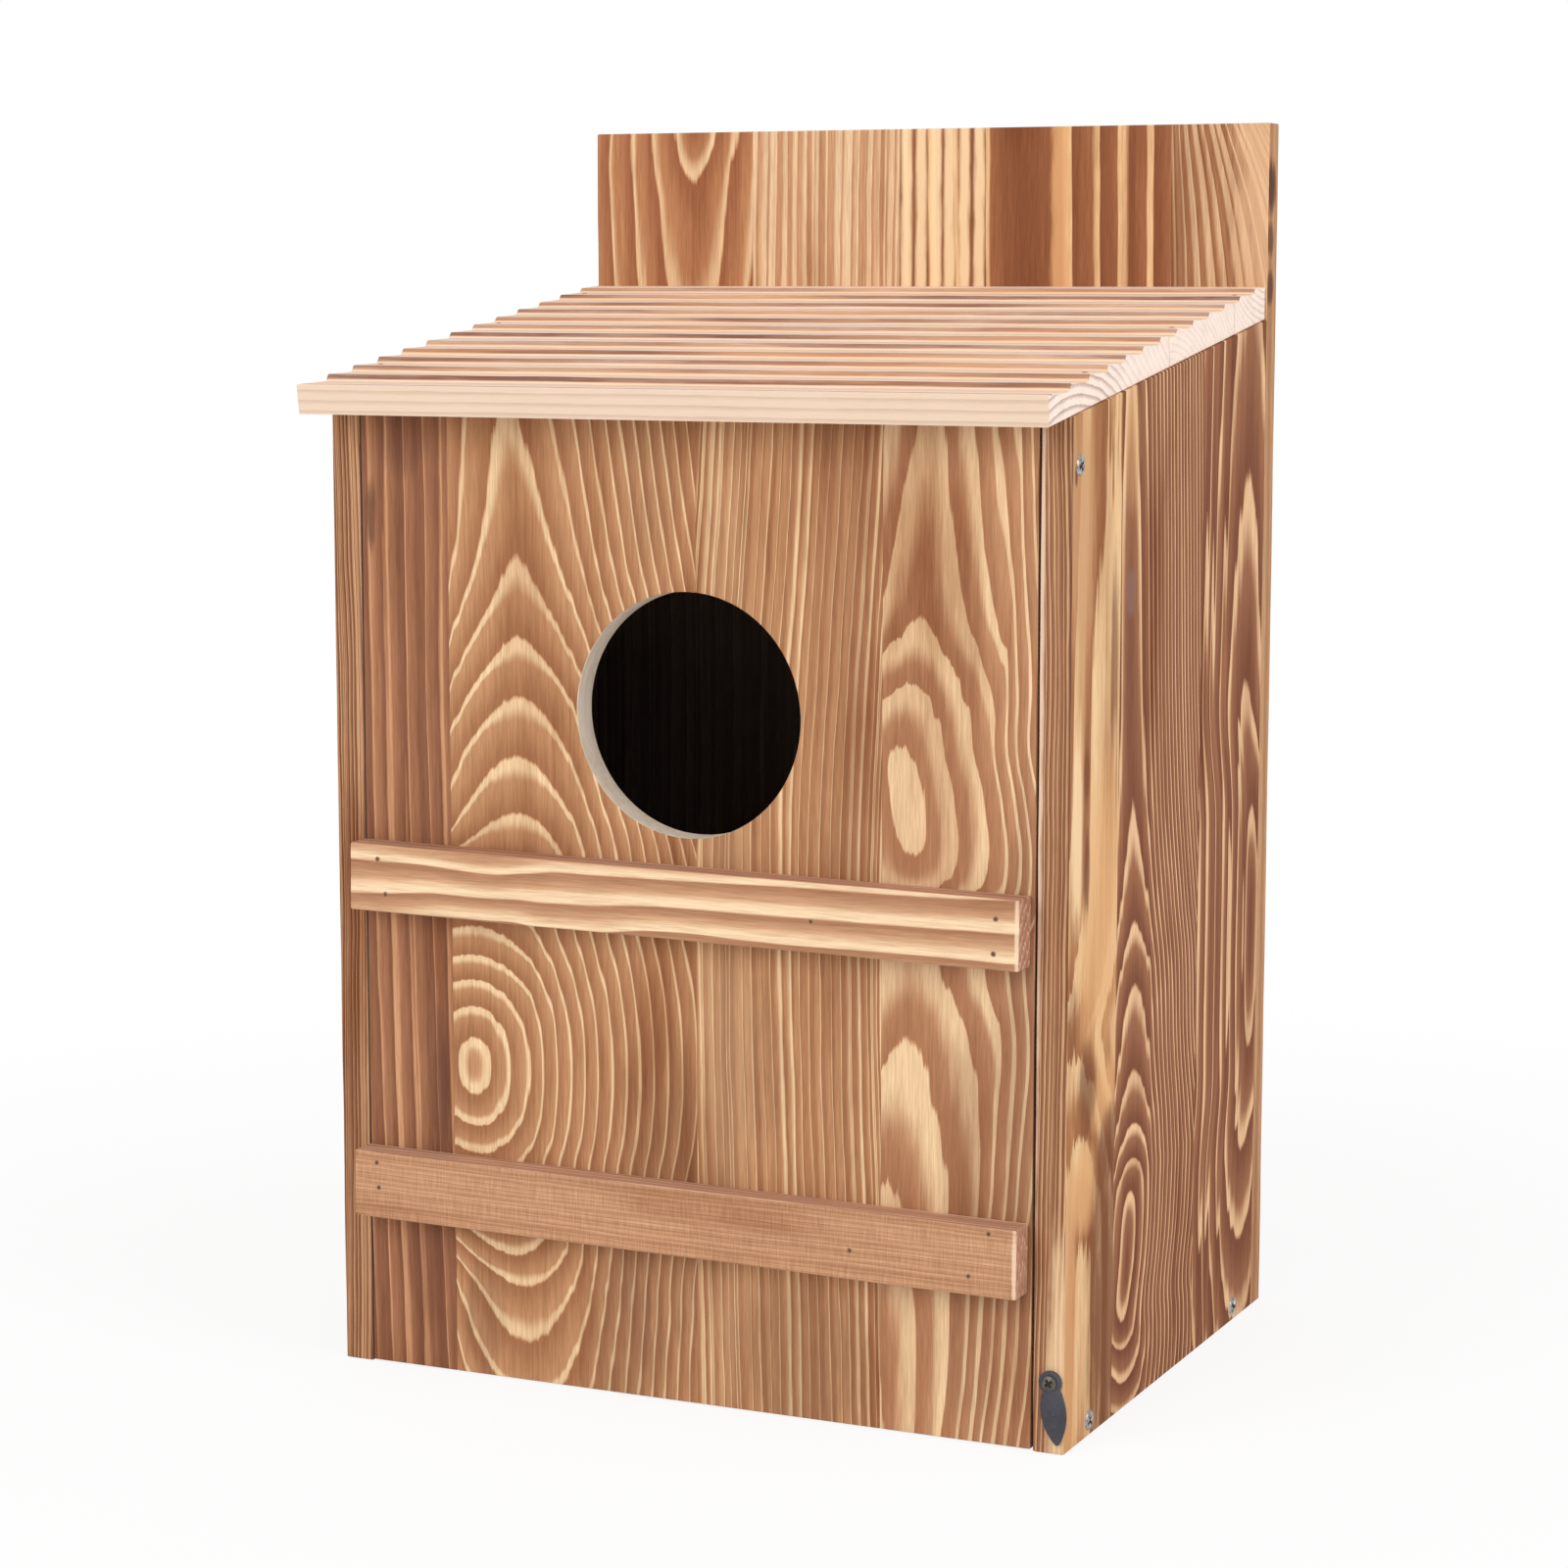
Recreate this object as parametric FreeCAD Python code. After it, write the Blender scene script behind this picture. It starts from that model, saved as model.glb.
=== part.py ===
import FreeCAD, Part
import math
import os

# A tall nest box of torched softwood. Edge-glued boards make the carcase, a stepped lean-to roof
# sheds the rain, the front door swings up on two pivot screws, and a turn button keeps it shut.
#
# Millimetres. X runs to the right seen from the front, Y towards the back board, Z up. While a piece
# is drawn, Y is counted from the carcase's front plane; place() moves it into the final frame, whose
# origin is the middle of the foot of the whole box.

# Carcase
WIDTH = 250.0
HEIGHT = 401.0
SIDE_DEPTH = 183.0
BOARD = 10.0
SIDE_JOINTS = (42.0, 119.0)
BACK_JOINTS = (61.5, 117.5, 216.0)
FLOOR_JOINTS = (68.0, 125.0)

# Roof: a plank that slopes to the front, with steps moulded in its upper face
ROOF_SLOPE_DEG = 8.0
ROOF_OVERHANG = 19.5
ROOF_EAVE = 308.2
ROOF_FRONT_THICK = 9.4
ROOF_REAR_THICK = 11.9
ROOF_SHIFT = -0.8
ROOF_JOINTS = (106.0, 171.0)
FIRST_STEP = 18.9
STEP_PITCH = 15.85
RISER_RUN = 1.7
FRONT_TREAD_FALL = 1.75
REAR_TREAD_FALL = 1.25

# Front door, hung between the side walls
DOOR_GAP_LEFT = 0.4
DOOR_GAP_RIGHT = 0.7
DOOR_GAP_FOOT = 0.5
DOOR_GAP_BACK = 0.4
DOOR_JOINTS = (41.6, 128.0, 190.0)
HOLE_DIAMETER = 76.0
HOLE_HEIGHT = 217.5
PIVOT_Y = 5.5
PIVOT_Z = 296.5
DOOR_ABOVE_PIVOT = 13.0

# Battens nailed across the door, a little out of level
BATTEN_LENGTH = 227.8
BATTEN_LEFT = 10.2
BATTEN_TALL = 21.6
BATTEN_THICK = 10.0
UPPER_BATTEN_Z = 160.3
UPPER_BATTEN_DROP = 2.9
LOWER_BATTEN_Z = 60.7
LOWER_BATTEN_DROP = 2.3
UPPER_BRADS = ((20.4, 167.7), (23.1, 156.6), (171.2, 158.5), (230.8, 163.6), (230.1, 153.1))
LOWER_BRADS = ((18.5, 69.1), (19.1, 61.0), (184.1, 58.4), (229.3, 68.4), (222.9, 54.8))

# Fasteners
SCREW_HEAD = 6.5
SCREW_SHANK = 3.5
SCREW_LENGTH = 30.0
SCREW_RIM = 0.4
RECESS_WIDTH = 1.0
RECESS_SPAN = 3.6
RECESS_DEPTH = 1.4
BRAD_SHANK = 1.3
BRAD_HEAD = 1.9
BRAD_HEAD_TALL = 0.5
BATTEN_BRAD_LENGTH = 18.0
ROOF_BRAD_LENGTH = 25.0
POINT_LENGTH_PER_DIAMETER = 1.3
PIVOT_CLEARANCE = 0.06
FLOOR_SCREW_Y = (21.7, 162.7)
BACK_SCREW_Z = (30.0, 160.0, 285.0)
ROOF_BRAD_STEPS = (2, 7, 11)

# Turn button on the right side wall's front edge
BUTTON_Z = 22.3
BUTTON_OFF_MIDDLE = 0.8
BUTTON_TILT_DEG = 7.4
BUTTON_HEAD_RADIUS = 3.6
BUTTON_WAIST = (2.6, 2.3)
BUTTON_BELLY = (4.0, 9.8)
BUTTON_LENGTH = 19.2
BUTTON_TIP_HALF = 0.4
BUTTON_THICK = 1.2
BUTTON_GAP = 0.3
BUTTON_SCREW_SHANK = 2.8
BUTTON_SCREW_HEAD = 4.6
BUTTON_SCREW_HEAD_TALL = 1.7
BUTTON_SCREW_LENGTH = 14.0
BUTTON_CLEARANCE = 0.06
PAN_SHOULDER = (0.75, 0.85)
PAN_RIM = 0.4

# How far a cutting tool runs past the face that it cuts
OVERSHOOT = 1.0

# Values worked out from the ones above
HALF = WIDTH / 2
INNER = HALF - BOARD
SLOPE = math.radians(ROOF_SLOPE_DEG)
FRONT_Y = (ROOF_OVERHANG - SIDE_DEPTH - BOARD) / 2
EAVE_Y = ROOF_FRONT_THICK * math.sin(SLOPE) - ROOF_OVERHANG
ROOF_LENGTH = (SIDE_DEPTH - EAVE_Y) / math.cos(SLOPE)
WALL_MIDDLE = HALF - BOARD / 2
FLOOR_FRONT = BOARD + DOOR_GAP_BACK
DOOR_LEFT = DOOR_GAP_LEFT - INNER
DOOR_RIGHT = INNER - DOOR_GAP_RIGHT
DOOR_TOP = PIVOT_Z + DOOR_ABOVE_PIVOT

AXIS_X = FreeCAD.Vector(1, 0, 0)
AXIS_Y = FreeCAD.Vector(0, 1, 0)
AXIS_Z = FreeCAD.Vector(0, 0, 1)


def block(x0, x1, y0, y1, z0, z1):
    """A square-edged board between two corners."""
    return Part.makeBox(x1 - x0, y1 - y0, z1 - z0, FreeCAD.Vector(x0, y0, z0))


def prism(outline, x0, x1):
    """A board whose outline is drawn in the Y-Z plane and carried along X."""
    points = [FreeCAD.Vector(x0, y, z) for y, z in outline]
    face = Part.Face(Part.makePolygon(points + points[:1]))
    return face.extrude(FreeCAD.Vector(x1 - x0, 0, 0))


def roof_underside(y):
    """Height of the roof's underside, and so of the side walls' top edge, at depth y."""
    return ROOF_EAVE + (y - EAVE_Y) * math.tan(SLOPE)


def along_roof(front, rear, along):
    """A size that changes evenly from the roof's front edge to the back board."""
    return front + (rear - front) * along / ROOF_LENGTH


def crest_along(step):
    """How far up the slope a step's crest lies; the first tread is a little deeper than the others."""
    return FIRST_STEP + (step - 1) * STEP_PITCH if step else 0.0


def crest_height(along):
    """Thickness of the roof plank at a crest."""
    return along_roof(ROOF_FRONT_THICK, ROOF_REAR_THICK, along)


def tread_end(step):
    """Where a step's tread meets the foot of the next riser, as (distance up the slope, height)."""
    crest = crest_along(step)
    fall = along_roof(FRONT_TREAD_FALL, REAR_TREAD_FALL, crest)
    return crest_along(step + 1) - RISER_RUN, crest_height(crest) - fall


def on_slope(shape):
    """Turn a shape drawn on a level roof board, from its lower front edge, into the sloping roof."""
    shape.rotate(FreeCAD.Vector(0, 0, 0), AXIS_X, ROOF_SLOPE_DEG)
    shape.translate(FreeCAD.Vector(ROOF_SHIFT, EAVE_Y, ROOF_EAVE))
    return shape


def turned(outline):
    """A solid of revolution about Z from (radius, height) points that start and end on the axis."""
    points = [FreeCAD.Vector(radius, 0, height) for radius, height in outline]
    face = Part.Face(Part.makePolygon(points + points[:1]))
    return face.revolve(FreeCAD.Vector(0, 0, 0), AXIS_Z, 360)


def aimed(shape, head, direction):
    """Move a fastener drawn at the origin, driven towards -Z, so that it is driven along direction."""
    turn = FreeCAD.Rotation(FreeCAD.Vector(0, 0, -1), direction)
    shape.Placement = FreeCAD.Placement(head, turn)
    return shape


def cross_recess(top):
    """The cross-shaped driver recess that is cut into a screw head."""
    half_width = RECESS_WIDTH / 2
    half_span = RECESS_SPAN / 2
    low = top - RECESS_DEPTH
    high = top + OVERSHOOT
    one = block(-half_span, half_span, -half_width, half_width, low, high)
    other = block(-half_width, half_width, -half_span, half_span, low, high)
    return one.fuse(other)


def countersunk_body(ease):
    """Outside of a countersunk screw, swollen by ease to make the hole that it turns in."""
    shank = SCREW_SHANK / 2 + ease
    head = SCREW_HEAD / 2 + ease
    cone_end = -SCREW_RIM - (SCREW_HEAD - SCREW_SHANK) / 2 - ease
    point_start = POINT_LENGTH_PER_DIAMETER * SCREW_SHANK - SCREW_LENGTH
    outline = (
        (0, 0),
        (head, 0),
        (head, -SCREW_RIM - ease),
        (shank, cone_end),
        (shank, point_start),
        (0, -SCREW_LENGTH - ease),
    )
    return turned(outline)


def wood_screw(head, direction):
    """A countersunk screw with its flat head flush at the given point."""
    screw = countersunk_body(0).cut(cross_recess(0))
    return aimed(screw, head, direction)


def screw_hole(head, direction, ease):
    """The countersunk hole for such a screw."""
    return aimed(countersunk_body(ease), head, direction)


def brad(head, direction, length):
    """A small headed pin, driven flush."""
    shank = BRAD_SHANK / 2
    point_start = POINT_LENGTH_PER_DIAMETER * BRAD_SHANK - length
    outline = (
        (0, 0),
        (BRAD_HEAD / 2, 0),
        (BRAD_HEAD / 2, -BRAD_HEAD_TALL),
        (shank, -BRAD_HEAD_TALL),
        (shank, point_start),
        (0, -length),
    )
    return aimed(turned(outline), head, direction)


def drilled(board, tools):
    """A board with every hole that reaches it cut out."""
    reaching = [tool for tool in tools if board.BoundBox.intersect(tool.BoundBox)]
    return board.cut(reaching) if reaching else board


def place(shape):
    """Move a shape from the carcase's front plane into the final frame."""
    moved = shape.copy()
    moved.translate(FreeCAD.Vector(0, FRONT_Y, 0))
    return moved


def spans(start, joints, end):
    """The widths between glue joints, as pairs of edges."""
    edges = (start,) + tuple(joints) + (end,)
    return list(zip(edges[:-1], edges[1:]))


def floor_screw_places():
    """Head and direction of the screws through both side walls into the floor's ends."""
    places = []
    for side in (-1, 1):
        for y in FLOOR_SCREW_Y:
            places.append((FreeCAD.Vector(side * HALF, y, BOARD / 2), AXIS_X * -side))
    return places


def back_screw_places():
    """Head and direction of the screws through the back board into the side walls."""
    places = []
    for side in (-1, 1):
        for z in BACK_SCREW_Z:
            head = FreeCAD.Vector(side * WALL_MIDDLE, SIDE_DEPTH + BOARD, z)
            places.append((head, AXIS_Y * -1))
    return places


def pivot_screw_places():
    """Head and direction of the two screws that the door swings on."""
    heads = [(FreeCAD.Vector(side * HALF, PIVOT_Y, PIVOT_Z), side) for side in (-1, 1)]
    return [(head, AXIS_X * -side) for head, side in heads]


def roof_brads():
    """Brads through the middle of a tread in each roof stave, square to the roof, into each side wall."""
    brads = []
    for side in (-1, 1):
        for step in ROOF_BRAD_STEPS:
            crest = crest_along(step)
            foot, foot_height = tread_end(step)
            along = (crest + foot) / 2
            height = (crest_height(crest) + foot_height) / 2
            head = FreeCAD.Vector(side * WALL_MIDDLE - ROOF_SHIFT, along, height)
            pin = brad(head, AXIS_Z * -1, ROOF_BRAD_LENGTH)
            brads.append(on_slope(pin))
    return brads


def batten_brads(places):
    """Brads through a batten into the door, at (distance from the left wall's face, height)."""
    brads = []
    for x, z in places:
        head = FreeCAD.Vector(x - HALF, -BATTEN_THICK, z)
        brads.append(brad(head, AXIS_Y, BATTEN_BRAD_LENGTH))
    return brads


def side_wall(side, joints, holes):
    """Staves of one side wall from front to back, cut along the top to the roof's slope."""
    x0, x1 = sorted((side * INNER, side * HALF))
    staves = []
    for y0, y1 in spans(0, joints, SIDE_DEPTH):
        outline = ((y0, 0), (y1, 0), (y1, roof_underside(y1)), (y0, roof_underside(y0)))
        staves.append(drilled(prism(outline, x0, x1), holes))
    return staves


def back_board(holes):
    """Staves of the tall back board from left to right."""
    staves = []
    for x0, x1 in spans(0, BACK_JOINTS, WIDTH):
        stave = block(x0 - HALF, x1 - HALF, SIDE_DEPTH, SIDE_DEPTH + BOARD, 0, HEIGHT)
        staves.append(drilled(stave, holes))
    return staves


def floor(holes):
    """Staves of the floor from front to back, between the side walls."""
    staves = []
    for y0, y1 in spans(FLOOR_FRONT, FLOOR_JOINTS, SIDE_DEPTH):
        staves.append(drilled(block(-INNER, INNER, y0, y1, 0, BOARD), holes))
    return staves


def roof(holes):
    """Staves of the roof from front to back: a stepped section, cut plumb against the back board."""
    outline = [(0, 0)]
    for step in range(math.ceil(ROOF_LENGTH / STEP_PITCH) + 1):
        crest = crest_along(step)
        outline.append((crest, crest_height(crest)))
        outline.append(tread_end(step))
    end = outline[-1][0]
    outline.append((end, 0))
    plank = prism(outline, -HALF, HALF)
    room_above = crest_height(end) + OVERSHOOT
    ahead_of_back = block(-WIDTH, WIDTH, -WIDTH, SIDE_DEPTH, 0, HEIGHT)
    staves = []
    for s0, s1 in spans(0, ROOF_JOINTS, end):
        strip = plank.common(block(-HALF, HALF, s0, s1, 0, room_above))
        stave = on_slope(strip).common(ahead_of_back)
        staves.append(drilled(stave, holes))
    return staves


def door(holes):
    """Staves of the front door from left to right, with the round entrance bored through the panel."""
    start = FreeCAD.Vector(0, -OVERSHOOT, HOLE_HEIGHT)
    entrance = Part.makeCylinder(HOLE_DIAMETER / 2, BOARD + 2 * OVERSHOOT, start, AXIS_Y)
    joints = [x - HALF for x in DOOR_JOINTS]
    staves = []
    for x0, x1 in spans(DOOR_LEFT, joints, DOOR_RIGHT):
        stave = block(x0, x1, 0, BOARD, DOOR_GAP_FOOT, DOOR_TOP)
        staves.append(drilled(stave, [entrance] + holes))
    return staves


def batten(middle_z, drop, holes):
    """One batten on the door's face, lower at its right end by drop."""
    left = BATTEN_LEFT - HALF
    middle = FreeCAD.Vector(left + BATTEN_LENGTH / 2, 0, middle_z)
    half_tall = BATTEN_TALL / 2
    bar = block(left, left + BATTEN_LENGTH, -BATTEN_THICK, 0, middle_z - half_tall, middle_z + half_tall)
    bar.rotate(middle, AXIS_Y, math.degrees(math.atan2(drop, BATTEN_LENGTH)))
    return drilled(bar, holes)


def button_place():
    """Where the turn button's screw enters the right side wall's front edge."""
    return FreeCAD.Vector(WALL_MIDDLE + BUTTON_OFF_MIDDLE, 0, BUTTON_Z)


def turn_button():
    """A leaf-shaped plate with a round eye, drawn hanging down and then turned to its tilt."""
    waist_half, waist_down = BUTTON_WAIST
    belly_half, belly_down = BUTTON_BELLY

    def at(x, down):
        return FreeCAD.Vector(x, 0, -down)

    right = Part.Arc(
        at(waist_half, waist_down), at(belly_half, belly_down), at(BUTTON_TIP_HALF, BUTTON_LENGTH)
    )
    tip = Part.LineSegment(at(BUTTON_TIP_HALF, BUTTON_LENGTH), at(-BUTTON_TIP_HALF, BUTTON_LENGTH))
    left = Part.Arc(
        at(-BUTTON_TIP_HALF, BUTTON_LENGTH), at(-belly_half, belly_down), at(-waist_half, waist_down)
    )
    across = Part.LineSegment(at(-waist_half, waist_down), at(waist_half, waist_down))
    wire = Part.Wire([curve.toShape() for curve in (right, tip, left, across)])
    leaf = Part.Face(wire).extrude(AXIS_Y * BUTTON_THICK)
    eye = Part.makeCylinder(BUTTON_HEAD_RADIUS, BUTTON_THICK, FreeCAD.Vector(0, 0, 0), AXIS_Y)
    bore_radius = BUTTON_SCREW_SHANK / 2 + BUTTON_CLEARANCE
    bore = Part.makeCylinder(bore_radius, BUTTON_THICK, FreeCAD.Vector(0, 0, 0), AXIS_Y)
    plate = leaf.fuse(eye).cut(bore).removeSplitter()
    plate.rotate(FreeCAD.Vector(0, 0, 0), AXIS_Y, -BUTTON_TILT_DEG)
    plate.translate(button_place() - AXIS_Y * (BUTTON_GAP + BUTTON_THICK))
    return plate


def turn_button_screw():
    """The pan-head screw that the turn button turns on; its head stands just clear of the plate."""
    shank = BUTTON_SCREW_SHANK / 2
    head = BUTTON_SCREW_HEAD / 2
    crown = BUTTON_SCREW_HEAD_TALL
    shoulder_out, shoulder_up = PAN_SHOULDER
    seat = BUTTON_THICK + 2 * BUTTON_GAP
    point_start = POINT_LENGTH_PER_DIAMETER * BUTTON_SCREW_SHANK - BUTTON_SCREW_LENGTH
    outline = (
        (0, seat + crown),
        (head * shoulder_out, seat + crown * shoulder_up),
        (head, seat + crown * PAN_RIM),
        (head, seat),
        (shank, seat),
        (shank, point_start),
        (0, -BUTTON_SCREW_LENGTH),
    )
    screw = turned(outline).cut(cross_recess(seat + crown))
    return aimed(screw, button_place(), AXIS_Y)


def button_screw_hole():
    """The blind hole for that screw in the wall's front edge."""
    shank = BUTTON_SCREW_SHANK / 2
    point_start = POINT_LENGTH_PER_DIAMETER * BUTTON_SCREW_SHANK - BUTTON_SCREW_LENGTH
    outline = ((0, OVERSHOOT), (shank, OVERSHOOT), (shank, point_start), (0, -BUTTON_SCREW_LENGTH))
    return aimed(turned(outline), button_place(), AXIS_Y)


def build():
    """Every piece of the nest box by name."""
    floor_screws = [wood_screw(head, way) for head, way in floor_screw_places()]
    back_screws = [wood_screw(head, way) for head, way in back_screw_places()]
    pivot_screws = [wood_screw(head, way) for head, way in pivot_screw_places()]
    floor_holes = [screw_hole(head, way, 0) for head, way in floor_screw_places()]
    back_holes = [screw_hole(head, way, 0) for head, way in back_screw_places()]
    pivot_holes = [screw_hole(head, way, 0) for head, way in pivot_screw_places()]
    running_holes = [screw_hole(head, way, PIVOT_CLEARANCE) for head, way in pivot_screw_places()]
    top_brads = roof_brads()
    upper_brads = batten_brads(UPPER_BRADS)
    lower_brads = batten_brads(LOWER_BRADS)
    wall_holes = floor_holes + back_holes + running_holes + top_brads + [button_screw_hole()]

    thirds = ("front", "middle", "rear")
    pieces = {}
    for part, stave in zip(thirds, side_wall(-1, SIDE_JOINTS, wall_holes)):
        pieces["left_side_" + part + "_stave"] = stave
    for part, stave in zip(thirds, side_wall(1, SIDE_JOINTS, wall_holes)):
        pieces["right_side_" + part + "_stave"] = stave
    for part, stave in zip(("left", "middle_left", "middle_right", "right"), back_board(back_holes)):
        pieces["back_" + part + "_stave"] = stave
    for part, stave in zip(thirds, floor(floor_holes)):
        pieces["floor_" + part + "_stave"] = stave
    for part, stave in zip(thirds, roof(top_brads)):
        pieces["roof_" + part + "_stave"] = stave
    door_names = ("left", "hole_left", "hole_right", "right")
    for part, stave in zip(door_names, door(pivot_holes + upper_brads + lower_brads)):
        pieces["door_" + part + "_stave"] = stave
    pieces["upper_batten"] = batten(UPPER_BATTEN_Z, UPPER_BATTEN_DROP, upper_brads)
    pieces["lower_batten"] = batten(LOWER_BATTEN_Z, LOWER_BATTEN_DROP, lower_brads)
    pieces["upper_batten_brads"] = Part.makeCompound(upper_brads)
    pieces["lower_batten_brads"] = Part.makeCompound(lower_brads)
    pieces["door_pivot_screws"] = Part.makeCompound(pivot_screws)
    pieces["floor_screws"] = Part.makeCompound(floor_screws)
    pieces["back_screws"] = Part.makeCompound(back_screws)
    pieces["roof_brads"] = Part.makeCompound(top_brads)
    pieces["turn_button"] = turn_button()
    pieces["turn_button_screw"] = turn_button_screw()
    return pieces


os.makedirs("parts", exist_ok=True)
whole = FreeCAD.BoundBox()
for name, shape in build().items():
    placed = place(shape)
    placed.exportStep("parts/" + name + ".step")
    whole.add(placed.BoundBox)
    print(f"{name}: {len(placed.Solids)} solids, {placed.Volume / 1000:.2f} cm3, valid {placed.isValid()}")
print(f"lowest corner {whole.XMin:.2f} {whole.YMin:.2f} {whole.ZMin:.2f}")
print(f"highest corner {whole.XMax:.2f} {whole.YMax:.2f} {whole.ZMax:.2f}")
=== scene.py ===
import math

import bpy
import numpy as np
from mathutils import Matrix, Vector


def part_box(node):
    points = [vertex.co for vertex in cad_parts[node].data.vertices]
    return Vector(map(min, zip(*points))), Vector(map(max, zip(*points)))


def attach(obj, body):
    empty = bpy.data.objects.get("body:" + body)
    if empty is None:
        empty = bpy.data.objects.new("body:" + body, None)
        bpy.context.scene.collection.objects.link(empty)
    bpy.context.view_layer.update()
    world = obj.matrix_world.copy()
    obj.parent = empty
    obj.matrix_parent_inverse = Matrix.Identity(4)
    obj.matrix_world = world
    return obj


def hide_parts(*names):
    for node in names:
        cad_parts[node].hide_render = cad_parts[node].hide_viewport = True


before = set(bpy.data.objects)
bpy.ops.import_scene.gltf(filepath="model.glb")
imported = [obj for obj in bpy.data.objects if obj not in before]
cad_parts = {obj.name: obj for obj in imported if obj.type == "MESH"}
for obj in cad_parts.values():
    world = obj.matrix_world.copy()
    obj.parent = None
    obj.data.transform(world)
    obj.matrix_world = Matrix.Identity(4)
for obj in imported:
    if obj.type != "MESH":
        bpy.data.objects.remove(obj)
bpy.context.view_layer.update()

# %% [markdown]
# This lesson dresses a tall nest box of torched softwood. The frame brings the boards, screws and joints at
# their real size. Here each board is rebuilt with eased arrises and gets a grain of its own, because on the
# real box the figure of the wood is what the eye sees first.

MM = 0.001
cad = {name: np.array(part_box(name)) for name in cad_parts}
print("pieces in the frame:", len(cad))

# %% [markdown]
# The real box is made from flat boards, so a few planes place everything: the carcase's front plane, the
# walls' outer faces, the back board's faces and the roof's sloping underside. They are read from the frame,
# so the new boards lie exactly where the old ones do. Only the roof's slope and front thickness are given.

# %% Planes read from the frame
FRONT_Y = cad["right_side_front_stave"][0, 1]
LEFT_X = cad["left_side_front_stave"][0, 0]
RIGHT_X = cad["right_side_front_stave"][1, 0]
BACK_Y = cad["back_left_stave"][0, 1]
REAR_Y = cad["back_left_stave"][1, 1]
BOARD = REAR_Y - BACK_Y
DOOR_Y = cad["door_left_stave"][0, 1]
SLOPE = math.radians(8.0)
ROOF_FRONT_THICK = 9.4 * MM
EAVE_Z = cad["roof_front_stave"][0, 2]
EAVE_Y = cad["roof_front_stave"][0, 1] + ROOF_FRONT_THICK * math.sin(SLOPE)
print(f"front plane {FRONT_Y:.4f}, door face {DOOR_Y:.4f}, board {BOARD:.4f}, eave {EAVE_Y:.4f} {EAVE_Z:.4f}")

# %% [markdown]
# Shader maths reads best as arithmetic. A small class wraps a node's socket, and its operators add Math
# nodes, so a ring pattern can be written as a formula. Every other node comes from one method, which sets the
# node's settings first and then its sockets. Each material starts with its Object coordinates and ends in one
# Principled shader whose relief comes from a Bump node.


# %% A socket that does arithmetic
class Wire:
    """A shader socket in a material; arithmetic on it adds Math nodes to the same material."""

    def __init__(self, tree, socket=None):
        self.tree = tree
        self.socket = socket

    def node(self, kind, settings=None, inputs=None, output=None):
        """Add a node, set its settings, then its sockets, and return one output's wire, or the first's."""
        made = self.tree.nodes.new("ShaderNode" + kind)
        for key, value in (settings or {}).items():
            if key == "points":
                set_points(made.mapping, value)
            else:
                setattr(made, key, value)
        sockets = {socket.identifier: socket for socket in made.inputs}
        for key, value in (inputs or {}).items():
            if isinstance(value, Wire):
                self.tree.links.new(value.socket, sockets[key])
            else:
                sockets[key].default_value = value
        outputs = {socket.identifier: socket for socket in made.outputs}
        first = made.outputs[0] if outputs else None
        return Wire(self.tree, outputs.get(output, first))

    def beside(self, output):
        """Another output of the node that this wire comes from."""
        return Wire(self.tree, self.socket.node.outputs[output])

    def math(self, operation, *others):
        """A Math node on this wire and up to two more values."""
        names = ("Value", "Value_001", "Value_002")
        return self.node("Math", {"operation": operation}, dict(zip(names, (self,) + others)))

    def step(self, low, high):
        """0 below low, 1 above high, and a smooth rise between."""
        settings = {"interpolation_type": "SMOOTHSTEP"}
        return self.node("MapRange", settings, {"Value": self, "From Min": low, "From Max": high})

    def mix(self, start, end, mode="MIX"):
        """Blend two colours by this wire."""
        settings = {"data_type": "RGBA", "blend_type": mode}
        inputs = {"Factor_Float": self, "A_Color": start, "B_Color": end}
        return self.node("Mix", settings, inputs, "Result_Color")

    def __add__(self, other):
        return self.math("ADD", other)

    __radd__ = __add__

    def __sub__(self, other):
        return self.math("SUBTRACT", other)

    def __rsub__(self, other):
        return (self * -1.0) + other

    def __mul__(self, other):
        return self.math("MULTIPLY", other)

    __rmul__ = __mul__

    def __truediv__(self, other):
        return self.math("DIVIDE", other)

    def __pow__(self, other):
        return self.math("POWER", other)


def set_points(mapping, points):
    """Give a float curve its points, joined smoothly without overshoot."""
    curve = mapping.curves[0]
    while len(curve.points) < len(points):
        curve.points.new(0.5, 0.5)
    for point, place in zip(curve.points, points):
        point.location = place
        point.handle_type = "AUTO_CLAMPED"
    mapping.update()


def srgb(red, green, blue):
    """A colour as seen on a screen, 0 to 255, turned into the linear numbers that a shader mixes."""
    linear = []
    for channel in (red / 255, green / 255, blue / 255):
        linear.append(channel / 12.92 if channel <= 0.04045 else ((channel + 0.055) / 1.055) ** 2.4)
    return (*linear, 1.0)


def new_material(name):
    """An empty node material, its first wire and the wire of its Object coordinates."""
    material = bpy.data.materials.new(name)
    material.use_nodes = True
    material.node_tree.nodes.clear()
    wire = Wire(material.node_tree)
    return material, wire, wire.node("TexCoord", {}, {}, "Object")


def finish_surface(wire, colour, rough, height, distance, strength, more=None):
    """A Principled shader with a relief of this height, joined to the material's output."""
    bump = wire.node("Bump", {}, {"Height": height, "Distance": distance, "Strength": strength})
    inputs = {"Base Color": colour, "Roughness": rough, "Normal": bump, **(more or {})}
    shader = wire.node("BsdfPrincipled", {}, inputs)
    wire.node("OutputMaterial", {}, {"Surface": shader})


print("shader tools ready")

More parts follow.
